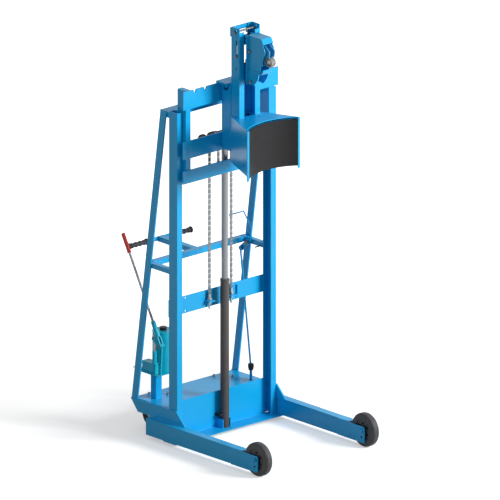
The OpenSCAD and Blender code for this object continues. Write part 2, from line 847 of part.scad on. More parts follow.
// Tapered lever socket with a fork and the plunger's lug
module lever_socket() {
  color("#12b9c9") {
    lean() difference() {
      union() {
        translate([0, 0, 53]) cylinder(d1 = 29, d2 = 27, h = 97);
        xcyl(10.5, 0, 0, 24, 8);
        for (s = [-1, 1]) translate([s * 10.5 - 3.5, -9, 0]) cube([7, 18, 56]);
      }
      translate([0, 0, 58]) cylinder(d = lever_d, h = 200);
      xcyl(0, 0, 0, jaw_pin_d - 2 + run * 2, 60);
    }
    at() difference() {
      link(-lever_x - 11.5, 7, [lever_y, lever_z], [plunger_y, lever_z + pin_dz], 24, 18);
      xcyl(-lever_x, lever_y, lever_z, jaw_pin_d - 2 + run * 2, 60);
    }
    at() xcyl(-lever_x - 4, plunger_y, lever_z + pin_dz, 8, 26);
  }
}

// Chromed lever rod
module lever_rod() {
  color("#d8dadc") lean() translate([0, 0, 58]) cylinder(d = lever_d, h = lever_l - 68);
}

// Red lever grip with a rounded end collar
module lever_grip() {
  color("#d81e24") lean() translate([0, 0, lever_l - lgrip_l]) difference() {
    rotate_extrude() union() {
      square([lgrip_d / 2 - 1, lgrip_l]);
      translate([0, 3]) square([lgrip_d / 2, lgrip_l - 7]);
      square([lgrip_d / 2 + 2, 5]);
    }
    translate([0, 0, -eps]) cylinder(d = lever_d, h = lgrip_l - 10 + eps);
  }
}

// Plunger with a slotted head for the lever's pin
module pump_plunger() {
  z = lever_z + pin_dz;
  color("silver") at() difference() {
    union() {
      zcyl(-lever_x, plunger_y, block_top - 10, plunger_d, z - block_top);
      box([-lever_x - 5.5, plunger_y - 12.5, z - 10.5], [-lever_x + 5.5, plunger_y + 15.5, z + 10.5]);
    }
    box([-lever_x - 8, plunger_y - 8.5, z - 6.5], [-lever_x + 8, plunger_y + 11.5, z + 6.5]);
  }
}

// Pin of the floor lock lever with a washer
module lock_pin() {
  color("#d5d7d9") at() {
    xcyl(arm_in - 11, lock_y, lock_z, bolt_d, 22);
    xcyl(arm_in - 23, lock_y, lock_z, head_d + 4, 2);
    xcyl(arm_in - 26, lock_y, lock_z, head_d - 4, 4);
    xcyl(arm_in - 20, lock_y - 93, lock_z - 4, lock_d, 40);
  }
}

// Bent hand rod and slotted crank of the floor lock
module lock_lever() {
  x = crank_x;
  color("#1579c0") at() {
    difference() {
      link(x, crank_t, [lock_y, lock_z], [lock_y + tie_y + 4, lock_z - tie_dz - 3], 30, 32);
      xcyl(x, lock_y, lock_z, bolt_d + run * 2, 20);
      translate([x - 10, lock_y + tie_y - 5, lock_z - tie_dz - 5]) cube([20, 20.5, 11.5]);
    }
    rod_to([x, lock_y - 18, lock_z + 4], [x, lock_y - 25, lock_z + 96]);
    rod_to([x, lock_y - 25, lock_z + 96], [x, lock_y + 38, lock_z + 177]);
    rod_to([x, lock_y + 38, lock_z + 177], [x - 112, lock_y + 38, lock_z + 177]);
    for (c = [[-25, 96], [38, 177]]) translate([x, lock_y + c[0], lock_z + c[1]]) sphere(d = lock_d + 0.6);
    translate([x, lock_y - 17, lock_z + 4]) cube([crank_t, 18, 12], center = true);
  }
}

// Round rod between two points
module rod_to(a, b, d = lock_d) {
  v = b - a;
  l = norm(v);
  translate(a) rotate([0, acos(v[2] / l), atan2(v[1], v[0])]) cylinder(d = d, h = l);
}

// Tie rod of the floor lock with eye, coupling and foot
module lock_rod() {
  x = rod_x;
  y = lock_y + tie_y;
  z = lock_z - tie_dz;
  color("#1579c0") at() {
    xcyl(x - 1, y, z, 24, 9);
    xcyl(crank_x - 3, y, z, 8, 14);
    rod_to([x - 1, y, z], [x, foot_y, couple_z], 11);
    zcyl(x, foot_y, couple_z, 30, 26);
    zcyl(x, foot_y, 24, lock_d * 2, couple_z - 24);
    zcyl(x, foot_y, 14, 44, 10);
  }
}

// Lift rod from the barrel to the crosshead
module lift_rod() {
  color("#dfe2e4") at() zcyl(0, cyl_y, rod_foot, rod_d, sheave_z - block_h / 2 - rod_foot);
}

// Crosshead block with the sheave shaft and end washers
module crosshead() {
  color("#22262a") at() {
    xcyl(0, cyl_y, sheave_z, shaft_d, disc_x * 2 + disc_w + 24);
    difference() {
      box([-block_w / 2, cyl_y - 24, sheave_z - block_h / 2],
        [block_w / 2, cyl_y + 24, sheave_z + block_h / 2 - 6]);
      xcyl(0, cyl_y, sheave_z, shaft_d, block_w * 2);
    }
    both() xcyl(disc_x + disc_w / 2 + slip + 4, cyl_y, sheave_z, shaft_d + 14, 7);
  }
}

// Grooved chain sheaves and outer guide discs on one shaft
module chain_sheaves() {
  r = sheave_flange_r;
  w = sheave_w / 2;
  c = chain_w / 2 + slip;
  g = sheave_r - chain_t / 2 - gap;
  color("#17191b") at() both() {
    translate([chain_x, cyl_y, sheave_z]) rotate([0, 90, 0]) rotate_extrude($fn = 72) polygon([
      [shaft_d / 2 + run, -w], [r, -w], [r, -c - 1], [g, -c], [g, c], [r, c + 1], [r, w],
      [shaft_d / 2 + run, w]]);
    difference() {
      xcyl(disc_x, cyl_y, sheave_z, r * 2, disc_w);
      xcyl(disc_x, cyl_y, sheave_z, shaft_d + run * 2, disc_w * 2);
    }
    difference() {
      xcyl((chain_x + w + disc_x - disc_w / 2) / 2, cyl_y, sheave_z, shaft_d + 10,
        disc_x - disc_w / 2 - chain_x - w);
      xcyl(chain_x, cyl_y, sheave_z, shaft_d + run * 2, disc_x * 2);
    }
  }
}

// Chain lying over each sheave
module chain_wrap() {
  color("#7b6f4a") at() both() translate([chain_x, cyl_y, sheave_z]) intersection() {
    rotate([0, 90, 0]) difference() {
      translate([0, 0, -chain_w / 2]) cylinder(r = sheave_r + chain_t / 2, h = chain_w);
      translate([0, 0, -chain_w]) cylinder(r = sheave_r - chain_t / 2, h = chain_w * 2);
    }
    translate([-chain_w, -sheave_r * 2, 0]) cube([chain_w * 2, sheave_r * 4, sheave_r * 2]);
  }
}

// Straight chain run with staggered link plates
module chain_run(y, z, h) {
  p = 38;
  both() translate([chain_x, y, z]) {
    translate([-chain_w / 2 + 3, -chain_t / 2, 0]) cube([chain_w - 6, chain_t, h]);
    for (i = [0:floor(h / p) - 1]) translate([-chain_w / 2, -chain_t / 2, i * p + 2])
      cube([chain_w, chain_t, p / 2]);
  }
}

// Fixed rear falls of the chains
module chain_rear() {
  color("#7b6f4a") at() chain_run(chain_rear_y, anchor_top + 40, sheave_z - anchor_top - 40);
}

// Front falls of the chains down to the lower bar
module chain_front() {
  color("#7b6f4a") at() chain_run(chain_front_y, low_top - 30, sheave_z - low_top + 30);
}

// Carriage side tubes with roller pins
module carriage_uprights() {
  color("#1579c0") at() both() {
    difference() {
      box([car_x, bar_rear, car_z], [car_x + up_w, bar_rear + car_d, bars_top]);
      box([car_x + plate_t, bar_rear + plate_t, car_z - eps],
          [car_x + up_w - plate_t, bar_rear + car_d - plate_t, bars_top - plate_t]);
    }
    for (z = [roll_low, roll_high]) {
      x = car_x + up_w - plate_t;
      translate([x, roll_y, car_z + z]) rotate([0, 90, 0])
        cylinder(d = roll_pin, h = roll_x + roll_w / 2 + 0.5 - x);
    }
  }
}

// Pair of rollers on one axis in the post channels
module rollers(z) {
  color("#2a2a2a") at() both() difference() {
    xcyl(roll_x, roll_y, car_z + z, roll_d, roll_w);
    xcyl(roll_x, roll_y, car_z + z, roll_pin + run * 2, roll_w * 2);
  }
}
module rollers_low() { rollers(roll_low); }
module rollers_high() { rollers(roll_high); }

// One cross bar of the carriage
module bar(z, h) { box([-bar_x, -bar_front, z], [bar_x, bar_rear, z + h]); }

// Three cross bars, the top one with location notches
module carriage_bars() {
  color("#1579c0") at() {
    difference() {
      bar(bars_top - bar_top_h, bar_top_h);
      both() for (x = [notch_in, notch_out]) translate([x, -bar_front - eps, bars_top]) rotate([-90, 0, 0])
        linear_extrude(bar_t + eps * 2) polygon([[-12, -eps], [12, -eps], [4, 20], [-4, 20]]);
    }
    bar(bar_mid_z, bar_mid_h);
    bar(car_z, bar_low_h);
    both() box([chain_x - 14, bar_rear, low_top - 44],
      [chain_x + 14, chain_front_y + chain_t, low_top - 30]);
  }
}

// Head box: side plates, front plate and stepped top, with its back plate
module head_box() {
  t = head_t;
  out = [[-box_rear, box_z], [-box_rear, box_low_top], [-box_rear - 43, box_low_top],
         [-box_front + 4, box_high_top], [-box_front, box_high_top], [-box_front, box_z]];
  color("#1579c0") at() {
    both() side(box_x - t, t, out);
    box([-box_x + t, -box_front, box_z], [box_x - t, -box_front + t, box_high_top - 8]);
    box([-box_x + t, -box_rear - t, box_z], [box_x - t, -box_rear, box_low_top]);
    box([-box_x + t, -box_front + t, box_z + 60], [box_x - t, -box_rear - t, box_z + 60 + t]);
    box([-box_x + 10, -box_rear, box_z + 30], [box_x - 10, -bar_front, bars_top]);
  }
}

// Hook plate over the top bar with a turned-down lip
module hook_plate() {
  color("#1579c0") at() {
    box([-hook_x, -hook_front, bars_top], [hook_x, -hook_rear, bars_top + hook_t]);
    box([-hook_x, -hook_front, bars_top - hook_lip], [hook_x, -hook_front + 7, bars_top]);
    box([-hook_x, bar_rear + gap, bars_top - 24], [hook_x, -hook_rear, bars_top]);
  }
}

// Two channels that face each other, with side holes, a tie and weld pads
module head_columns() {
  x = box_x;
  t = head_t;
  color("#1579c0") at() {
    both() difference() {
      box([x - col_w, -col_front, cradle_top], [x, -col_rear, col_top]);
      box([x - col_w - eps, -col_front + t, cradle_top - eps], [x - t, -col_rear - t, col_top + eps]);
      box([x - col_w - eps, -col_front - eps, col_top - 25], [x - t, -col_front + t + eps, col_top + eps]);
      for (z = [14, 244]) xcyl(x - t / 2, -slot_y, col_top - z, col_hole_d, t * 3);
      xcyl(x - t / 2, -slot_y, side_bolt_z, bolt_d + run * 2, t * 3);
      translate([x - t * 2, -slot_y - 5, side_bolt_z + 12]) cube([t * 3, 10, 84]);
      xcyl(x, -tie_bolt_y, tie_bolt_z, bolt_d + run * 2, col_w * 3);
    }
    box([-x + col_w, -col_rear, tie_z], [x - col_w, -col_rear + 11, tie_z + col_tie_h]);
    both() box([x - col_w, -col_rear, tie_z + col_tie_h - tie_pad_h],
      [x, -col_rear + 11, tie_z + col_tie_h]);
    both() for (z = [cradle_top + 46, cradle_top + 146])
      box([x - col_w + 6, -col_rear, z], [x - t, -box_front, z + 40]);
  }
}

// Cross bar and side bolts of the columns
module column_pins() {
  color("#c9cdd0") at() {
    xcyl(0, -tie_bolt_y, tie_bolt_z, bolt_d, box_x * 2 + 8);
    both() xcyl(box_x + 7, -tie_bolt_y, tie_bolt_z, head_d, 6);
    both() {
      xcyl(box_x - head_t / 2, -slot_y, side_bolt_z, bolt_d, head_t);
      xcyl(box_x + 3.5, -slot_y, side_bolt_z, head_d - 2, 7);
    }
  }
}

// Plan of the space between the cheeks' outer faces, drawn in by d
module cradle_plan(d = 0, rear = 0) {
  k = (cradle_x - box_x) / (cradle_y - box_front);
  y0 = box_front + rear;
  polygon([[-box_x - k * rear + d, -y0], [box_x + k * rear - d, -y0],
    [cradle_x - d, -cradle_y], [-cradle_x + d, -cradle_y]]);
}

// Splayed cheek plates, deck and web of the drum cradle
module cradle_cheeks() {
  t = plate_t * 1.1;
  a = atan2(cradle_x - box_x, cradle_y - box_front);
  color("#1579c0") at() {
    translate([0, 0, cradle_z]) linear_extrude(cradle_top - cradle_z) difference() {
      cradle_plan();
      cradle_plan(t);
      square([box_x, cradle_y * 2 + eps * 2], center = true);
      translate([0, -cradle_y]) square([cradle_x, eps * 2], center = true);
    }
    for (z = [cradle_top - plate_t, cradle_z + 90]) difference() {
      translate([0, 0, z]) linear_extrude(plate_t) cradle_plan(t, 0);
      zcyl(0, -arc_y, z - eps, arc_out * 2, plate_t + eps * 2);
      if (z > cradle_z + 100) box([-box_x + col_w, -col_front + 10, z - eps],
        [box_x - col_w, -box_front - 8, z + plate_t + eps]);
      both() box([30, -col_front - 46, z - eps], [44, -col_front - 34, z + plate_t + eps]);
    }
  }
  color("silver") at() both() for (z = [cradle_top - 71, cradle_z + 51])
    translate([box_x + (345 - box_front) * tan(a), -345, z]) rotate([0, 90, a])
      cylinder(d = head_d - 4, h = head_h);
}

// Curved steel backing of the drum pad with bright tip strips
module cradle_arc() {
  t = plate_t * 1.1;
  color("#b9bec2") at() {
    intersection() {
      translate([0, -arc_y, saddle_z]) difference() {
        cylinder(r = arc_out, h = saddle_h);
        translate([0, 0, -eps]) cylinder(r = arc_r, h = saddle_h + eps * 2);
      }
      translate([0, 0, saddle_z - eps]) linear_extrude(saddle_h + eps * 2) cradle_plan(t + gap, 0);
    }
    both() box([cradle_x - tip_w, -cradle_y - plate_t, saddle_z - tip_w],
      [cradle_x, -cradle_y, cradle_top]);
  }
}

// Rubber pad against the curved backing
module cradle_pad() {
  x = cradle_x - tip_w - slip;
  color("#1a1a1a") at() intersection() {
    translate([0, -arc_y, saddle_z]) difference() {
      cylinder(r = arc_r, h = saddle_h);
      translate([0, 0, -eps]) cylinder(r = pad_in, h = saddle_h + eps * 2);
    }
    box([-x, -arc_y, saddle_z - eps], [x, 0, saddle_z + saddle_h + eps]);
  }
}

// Side outline of the clamp head above its overlap line
function clamp_outline() = [[-clamp_rear, clamp_lap], [-clamp_rear, clamp_top],
  [-clamp_bend, clamp_top], [-clamp_nose, clamp_nose_z], [-clamp_nose + 8, clamp_nose_z - 8],
  [-clamp_nose - 6, clamp_nose_z - 26], [-clamp_nose - 12, clamp_nose_z - 44],
  [-clamp_nose - 10, clamp_nose_z - 60], [-clamp_nose + 5, clamp_nose_z - 86],
  [-clamp_nose + 10, clamp_nose_z - 106], [-clamp_nose + 7, clamp_nose_z - 128],
  [-clamp_nose + 24, clamp_nose_z - 138], [-clamp_foot - 46, clamp_lap]];

// Clamp head: hooded side plates, lower plates, guide flanges, lugs and lower lip
module clamp_body() {
  w = clamp_w / 2;
  t = clamp_t;
  color("#1579c0") at() difference() {
    union() {
      both() side(w - t, t, clamp_outline());
      both() side(w - t, t + 2, [[-clamp_rear, clamp_z], [-clamp_rear, clamp_lap],
        [-clamp_foot - 46, clamp_lap], [-clamp_foot - 32, clamp_z + 40], [-clamp_foot, clamp_z]]);
      side(-w + t, clamp_w - t * 2, [[-clamp_rear, clamp_top - t], [-clamp_rear, clamp_top],
        [-clamp_bend, clamp_top], [-clamp_nose, clamp_nose_z], [-clamp_nose + t, clamp_nose_z],
        [-clamp_bend + t / 2, clamp_top - t]]);
      box([-w + t, -clamp_rear - t, clamp_z], [w - t, -clamp_rear, clamp_z + lower_shoe_h + 10]);
      box([-w + t, -clamp_rear - t, upper_shoe], [w - t, -clamp_rear, clamp_top - t]);
      both() box([w, -clamp_rear - t, clamp_z], [w + flange_w, -clamp_rear, clamp_top - 4]);
      for (z = [[upper_shoe, upper_shoe + shoe_h], [clamp_z + 4, clamp_z + 4 + lower_shoe_h]])
        both() box([w - t - 12, -clamp_rear, z[0] + 6], [w - t, -col_rear - head_t - 14, z[1] - 6]);
      both() box([w - t - 12, -clamp_rear, upper_shoe + shoe_h + slip],
        [w - t, -col_front + 20, clamp_top - t - 4]);
      side(-w + t, clamp_w - t * 2, [[-clamp_rear - t, clamp_lap - 26], [-clamp_rear - t, clamp_lap - 4],
        [-rim_y + 12, clamp_lap + 6], [-rim_y - 4, clamp_lap + 16], [-rim_y - 4, clamp_lap + 4],
        [-rim_y + 10, clamp_lap - 14]]);
    }
    xcyl(0, -jaw_y, jaw_z, jaw_pin_d + run * 2, clamp_w * 2);
    both() xcyl(w, -clamp_rear - 30, clamp_z + 19, bolt_d + run * 2, t * 5);
  }
}

// Sliding shoes that run inside the columns
module guide_shoes() {
  w = clamp_w / 2;
  color("#1c1c1c") at() both()
    for (z = [[upper_shoe, upper_shoe + shoe_h], [clamp_z + 4, clamp_z + 4 + lower_shoe_h]]) difference() {
      box([w - clamp_t - 12, -col_front + head_t + 0.5, z[0]],
        [box_x - head_t - 0.5, -col_rear - head_t - 0.5, z[1]]);
      box([w - clamp_t - 13, -col_front, z[0] + 6],
        [w - clamp_t, -col_rear - head_t - 14, z[1] - 6]);
    }
}

// Jaw pin and side bolts of the clamp head
module clamp_bolts() {
  w = clamp_w / 2;
  color("#c9cdd0") at() {
    xcyl(0, -jaw_y, jaw_z, jaw_pin_d, clamp_w);
    both() xcyl(w + 3, -jaw_y, jaw_z, head_d - 2, 6);
    both() {
      xcyl(w - clamp_t + 3.5, -clamp_rear - 30, clamp_z + 19, bolt_d, 7);
      xcyl(w + 2 + 3, -clamp_rear - 30, clamp_z + 19, head_d, 6);
    }
  }
}

// Side outline of a jaw arm, from its hub to the mouth round the beak
function jaw_outline() = [[-jaw_y - 2, jaw_z + jaw_hub / 2], [-jr_y + 56, jr_z + 102],
  [-jr_y + 25, jr_z + 98], [-jr_y - 14, jr_z + 70], [-jr_y - 15, jr_z + 58], [-jr_y - 9, jr_z + 28],
  [-jr_y + 10, jr_z], [-jr_y + 22, jr_z - 22], [-jr_y + 44, jr_z - 22], [-jr_y + 78, jr_z + 6],
  [-jaw_y - 2, jaw_z - jaw_hub / 2]];

// Pair of hooked jaw arms with a hub on the pin and a web behind the beak
module jaw_arms() {
  x = jaw_gap / 2;
  color("#2f86b8") at() {
    both() difference() {
      union() {
        side(x, jaw_t, jaw_outline());
        xcyl(x + jaw_t / 2, -jaw_y, jaw_z, jaw_hub, jaw_t);
      }
      xcyl(x, -jaw_y, jaw_z, jaw_pin_d + run * 2, clamp_w);
      xcyl(x, -jr_y, jr_z, jr_d + 4, clamp_w);
    }
    difference() {
      xcyl(0, -jaw_y, jaw_z, jaw_hub, jaw_gap);
      xcyl(0, -jaw_y, jaw_z, jaw_pin_d + run * 2, clamp_w);
    }
    box([-x, -beak_y, jr_z - 22], [x, -beak_y + 14, jr_z + 22]);
  }
}

// Bare steel beak bent round the space above the drum's rim
module jaw_beak() {
  color("#c4c8cb") at() difference() {
    xcyl(0, -jr_y, jr_z, jr_d, jaw_gap);
    xcyl(0, -jr_y, jr_z, jr_d - beak_t * 2, jaw_gap + eps * 2);
    box([-jaw_gap, -beak_y, jr_z - jr_d], [jaw_gap, 0, jr_z + jr_d]);
  }
}

legs();
fork_plates();
wheel_axles();
floor_plates();
rear_deck();
castor_plates();
mast_posts();
top_tie();
rear_braces();
chain_plate();
chain_anchors();
handle_frame();
handle_tube();
handle_grips();
cylinder_barrel();
cylinder_foot();
inlet_elbow();
pump_stand();
pump_block();
pump_reservoir();
filler_cap();
lever_pin();
lock_pin();
lift_rod();
crosshead();
chain_sheaves();
chain_wrap();
chain_rear();
chain_front();
carriage_uprights();
carriage_bars();
rollers_low();
rollers_high();
head_box();
hook_plate();
head_columns();
column_pins();
cradle_cheeks();
cradle_arc();
cradle_pad();
clamp_body();
guide_shoes();
clamp_bolts();
jaw_arms();
jaw_beak();
lever_socket();
lever_rod();
lever_grip();
pump_plunger();
release_pedal();
lock_lever();
lock_rod();
castor_fork_left();
castor_fork_right();
castor_wheel_left();
castor_wheel_right();
front_tyre_left();
front_tyre_right();
front_hub_left();
front_hub_right();
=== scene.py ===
"""Dresses the drum stacker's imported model: finishes, chains, hardware and studio."""

import json
import logging
import math
from dataclasses import dataclass, field
from enum import Enum
from typing import Any, Sequence

import bmesh
import bpy
from mathutils import Matrix, Vector


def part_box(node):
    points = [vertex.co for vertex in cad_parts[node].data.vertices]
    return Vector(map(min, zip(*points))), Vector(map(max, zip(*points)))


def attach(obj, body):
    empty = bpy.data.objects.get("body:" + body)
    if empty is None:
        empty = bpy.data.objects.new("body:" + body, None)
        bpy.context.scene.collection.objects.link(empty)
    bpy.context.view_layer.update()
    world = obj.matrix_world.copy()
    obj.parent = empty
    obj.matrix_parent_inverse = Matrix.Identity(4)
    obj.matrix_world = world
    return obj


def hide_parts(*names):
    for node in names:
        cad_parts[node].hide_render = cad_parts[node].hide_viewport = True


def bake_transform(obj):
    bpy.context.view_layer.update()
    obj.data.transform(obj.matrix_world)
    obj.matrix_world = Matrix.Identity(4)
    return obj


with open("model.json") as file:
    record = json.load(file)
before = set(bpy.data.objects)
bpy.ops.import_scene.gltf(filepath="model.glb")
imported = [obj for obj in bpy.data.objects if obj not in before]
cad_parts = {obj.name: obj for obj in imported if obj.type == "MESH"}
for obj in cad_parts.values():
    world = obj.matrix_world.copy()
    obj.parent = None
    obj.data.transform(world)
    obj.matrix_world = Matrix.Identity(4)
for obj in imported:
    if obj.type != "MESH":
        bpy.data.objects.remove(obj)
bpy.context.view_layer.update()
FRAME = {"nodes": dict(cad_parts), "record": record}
LOG = logging.getLogger("drum_stacker")

Point = tuple[float, float, float]
Flat = tuple[float, float]

MM = 0.001
# Where the posts' front face lies along Y in the row frame
POST_FACE = 0.1205
# Chamfered corners shade as sharp above this angle
SHARP_ANGLE = math.radians(32)
# Corners get a painted highlight, partly standing for rubbing, over this radius
HIGHLIGHT_AND_RUB_RADIUS = 2.2 * MM


def srgb(code: str) -> tuple[float, float, float, float]:
    """Turns an sRGB hex value into linear colour.

    Args:
        code: Six hex digits after a hash.

    Returns:
        Linear red, green, blue and an alpha of one.
    """
    out = []
    for i in (1, 3, 5):
        c = int(code[i : i + 2], 16) / 255
        out.append(c / 12.92 if c <= 0.04045 else ((c + 0.055) / 1.055) ** 2.4)
    return (out[0], out[1], out[2], 1.0)


def add_node(
    tree: bpy.types.NodeTree,
    kind: str,
    settings: dict[str, Any] | None = None,
    inputs: dict[str, Any] | None = None,
) -> bpy.types.Node:
    """Adds one shader node, sets it and links it.

    Args:
        tree: The node tree.
        kind: The node's type name.
        settings: Attributes of the node.
        inputs: Socket values, or output sockets to link.

    Returns:
        The new node.
    """
    node = tree.nodes.new(kind)
    for key, value in (settings or {}).items():
        setattr(node, key, value)
    for key, value in (inputs or {}).items():
        socket = node.inputs[key]
        if isinstance(value, bpy.types.NodeSocket):
            tree.links.new(value, socket)
        else:
            socket.default_value = value
    return node


class Surface(Enum):
    """How a finish's surface was made."""

    SPRAYED = "sprayed"
    MACHINED = "machined"
    MOULDED = "moulded"
    OILED = "oiled"


@dataclass(frozen=True)
class Finish:
    """One real material and the look that its making gives it.

    Attributes:
        name: Common name of the material.
        slot: The record's material slot.
        base: Main colour, sRGB hex.
        shade: Colour of its darker patches, sRGB hex.
        edge: Colour of the corners, sRGB hex: a painted highlight, partly standing for real
            rubbing.
        surface: How the surface was made.
        roughness: Mean roughness.
        spread: How far the roughness varies.
        metallic: Metallic share.
        coat: Clear coat weight.
        grain_mm: Size of the surface's texture.
        depth_mm: Height of the surface's texture.
        patch_mm: Size of the colour's patches.
        patch: Weight of the patches.
        edge_highlight_and_wear: Weight of the corners' colour, a painted highlight partly
            standing for real rubbing.
        specular: Specular level of a surface that isn't metal.
    """

    name: str
    slot: str
    base: str
    shade: str
    edge: str
    surface: Surface = Surface.SPRAYED
    roughness: float = 0.4
    spread: float = 0.06
    metallic: float = 0.0
    coat: float = 0.0
    grain_mm: float = 3.0
    depth_mm: float = 0.03
    patch_mm: float = 120.0
    patch: float = 0.35
    edge_highlight_and_wear: float = 0.25
    specular: float = 0.5

    def build(self) -> bpy.types.Material:
        """Builds the finish as a procedural material.

        Returns:
            The material, made once and then reused.
        """
        found = bpy.data.materials.get(self.name)
        if found:
            return found
        mat = bpy.data.materials.new(self.name)
        mat.use_nodes = True
        tree = mat.node_tree
        tree.nodes.clear()
        place = add_node(tree, "ShaderNodeTexCoord").outputs["Object"]
        grain_from = place
        if self.surface is Surface.MACHINED:
            # Turning and drawing leave fine lines along one way, so the grain is stretched
            grain_from = add_node(
                tree, "ShaderNodeMapping", None, {"Vector": place, "Scale": (1.0, 1.0, 0.08)}
            ).outputs["Vector"]
        patches = add_node(
            tree,
            "ShaderNodeTexNoise",
            None,
            {
                "Vector": place,
                "Scale": 1 / (self.patch_mm * MM),
                "Detail": 5.0,
                "Roughness": 0.55,
            },
        )
        spread = add_node(
            tree,
            "ShaderNodeMapRange",
            None,
            {
                "Value": patches.outputs["Fac"],
                "From Min": 0.4,
                "From Max": 0.75,
                "To Max": self.patch,
            },
        )
        toned = add_node(
            tree,
            "ShaderNodeMix",
            {"data_type": "RGBA"},
            {"Factor": spread.outputs["Result"], "A": srgb(self.base), "B": srgb(self.shade)},
        )
        # Lighter corners, a painted highlight partly standing for real rubbing: the bevelled
        # normal leaves the true one only near an edge
        rounded = add_node(tree, "ShaderNodeBevel", {"samples": 4}, {"Radius": HIGHLIGHT_AND_RUB_RADIUS})
        flat = add_node(tree, "ShaderNodeNewGeometry")
        turn = add_node(
            tree,
            "ShaderNodeVectorMath",
            {"operation": "DOT_PRODUCT"},
            {0: rounded.outputs["Normal"], 1: flat.outputs["Normal"]},
        )
        near = add_node(
            tree,
            "ShaderNodeMapRange",
            None,
            {
                "Value": turn.outputs["Value"],
                "From Min": 0.995,
                "From Max": 0.8,
                "To Max": self.edge_highlight_and_wear,
            },
        )
        # Mixes the painted corner highlight into the colour
        highlight_and_rubbing = add_node(
            tree,
            "ShaderNodeMix",
            {"data_type": "RGBA"},
            {
                "Factor": near.outputs["Result"],
                "A": toned.outputs["Result"],
                "B": srgb(self.edge),
            },
        )
        grain = add_node(
            tree,
            "ShaderNodeTexNoise",
            None,
            {"Vector": grain_from, "Scale": 1 / (self.grain_mm * MM), "Detail": 3.0},
        )
        rough = add_node(
            tree,
            "ShaderNodeMapRange",
            None,
            {
                "Value": grain.outputs["Fac"],
                "From Min": 0.3,
                "From Max": 0.7,
                "To Min": max(self.roughness - self.spread, 0.02),
                "To Max": min(self.roughness + self.spread, 1.0),
            },
        )
        bump = add_node(
            tree,
            "ShaderNodeBump",
            None,
            {
                "Height": grain.outputs["Fac"],
                "Strength": 0.6,
                "Distance": self.depth_mm * MM,
                "Normal": rounded.outputs["Normal"],
            },
        )
        shader = add_node(
            tree,
            "ShaderNodeBsdfPrincipled",
            None,
            {
                "Base Color": highlight_and_rubbing.outputs["Result"],
                "Roughness": rough.outputs["Result"],
                "Metallic": self.metallic,
                "Coat Weight": self.coat,
                "Coat Roughness": 0.12,
                "Specular IOR Level": self.specular,
                "Normal": bump.outputs["Normal"],
            },
        )
        add_node(tree, "ShaderNodeOutputMaterial", None, {"Surface": shader.outputs["BSDF"]})
        return mat


# Sprayed gloss enamel on hot rolled steel; 4 mm orange peel, 0.05 mm high
BLUE_ENAMEL = Finish(
    "blue_gloss_enamel", "blue_paint", "#12adea", "#0f9ad2", "#5ac8f4",
    roughness=0.32, spread=0.05, coat=0.05, grain_mm=4, depth_mm=0.03, patch_mm=260, patch=0.3,
    edge_highlight_and_wear=0.2, specular=0.25,
)
# The jaw's enamel is thinner and duller from rubbing on drum rims, in 30 mm patches
JAW_ENAMEL = Finish(
    "worn_jaw_enamel", "jaw_paint", "#3aa6dc", "#2b86b6", "#a9c3d0",
    roughness=0.42, grain_mm=3, depth_mm=0.04, patch_mm=30, patch=0.4, edge_highlight_and_wear=0.6, specular=0.3,
)
# Sprayed enamel over a sand cast pump body: the cast skin's 2 mm pimples show through
TURQUOISE_ENAMEL = Finish(
    "turquoise_enamel_on_casting", "turquoise_paint", "#08b7d0", "#0699b2", "#62d8e4",
    roughness=0.34, coat=0.05, grain_mm=2, depth_mm=0.06, patch_mm=60, patch=0.35, edge_highlight_and_wear=0.2,
    specular=0.25,
)
# Dark primer, oiled, on the drawn barrel
BARREL_ENAMEL = Finish(
    "dark_barrel_primer", "barrel_paint", "#4b4644", "#3a3634", "#6d6662",
    roughness=0.4, coat=0.05, grain_mm=3, depth_mm=0.03, patch_mm=90, patch=0.4, specular=0.35,
)
# Hard chrome on a ground rod: faint grinding lines 1.5 mm long
HARD_CHROME = Finish(
    "hard_chrome", "chrome", "#777b80", "#676b70", "#9a9ea2", Surface.MACHINED,
    roughness=0.3, spread=0.03, metallic=0.75, grain_mm=1.5, depth_mm=0.001, patch=0.2,
    edge_highlight_and_wear=0.1,
)
# Bright zinc on pressed and turned steel, cloudy in 14 mm patches
ZINC_STEEL = Finish(
    "bright_zinc_steel", "zinc_steel", "#93979a", "#7c7f7c", "#c0c2c0",
    roughness=0.32, spread=0.08, metallic=0.8, grain_mm=1.5, depth_mm=0.01, patch_mm=14,
    patch=0.5,
)
# Black oxide on turned steel: dark grey with a soft sheen
BLACK_OXIDE = Finish(
    "black_oxide_steel", "black_steel", "#1b1d1f", "#111213", "#4a4e51",
    roughness=0.42, metallic=0.2, grain_mm=2, depth_mm=0.02, patch_mm=30, patch=0.4, specular=0.3,
)
# Leaf chain wiped clean: grey steel with oil left between the plates
OILED_CHAIN = Finish(
    "oiled_leaf_chain", "chain_steel", "#94979b", "#6a6b6d", "#bcbec0", Surface.OILED,
    roughness=0.34, spread=0.1, metallic=0.7, grain_mm=1.5, depth_mm=0.03, patch_mm=16,
    patch=0.6, edge_highlight_and_wear=0.6,
)
# Cast roller iron with lighter corners: a painted highlight, partly standing for wear where it
# rolls
CAST_ROLLER = Finish(
    "cast_roller_iron", "roller_steel", "#3a3a3a", "#242424", "#8d8d8d",
    roughness=0.45, metallic=0.5, grain_mm=2, depth_mm=0.05, patch_mm=25, edge_highlight_and_wear=0.5,
)
# Vulcanised sheet rubber with a cloth print of about 2 mm, drawn as fine grain
PAD_RUBBER = Finish(
    "sheet_pad_rubber", "pad_rubber", "#18181a", "#232325", "#38383a", Surface.MOULDED,
    roughness=0.66, grain_mm=2, depth_mm=0.1, patch_mm=80, patch=0.5, edge_highlight_and_wear=0.3, specular=0.2,
)
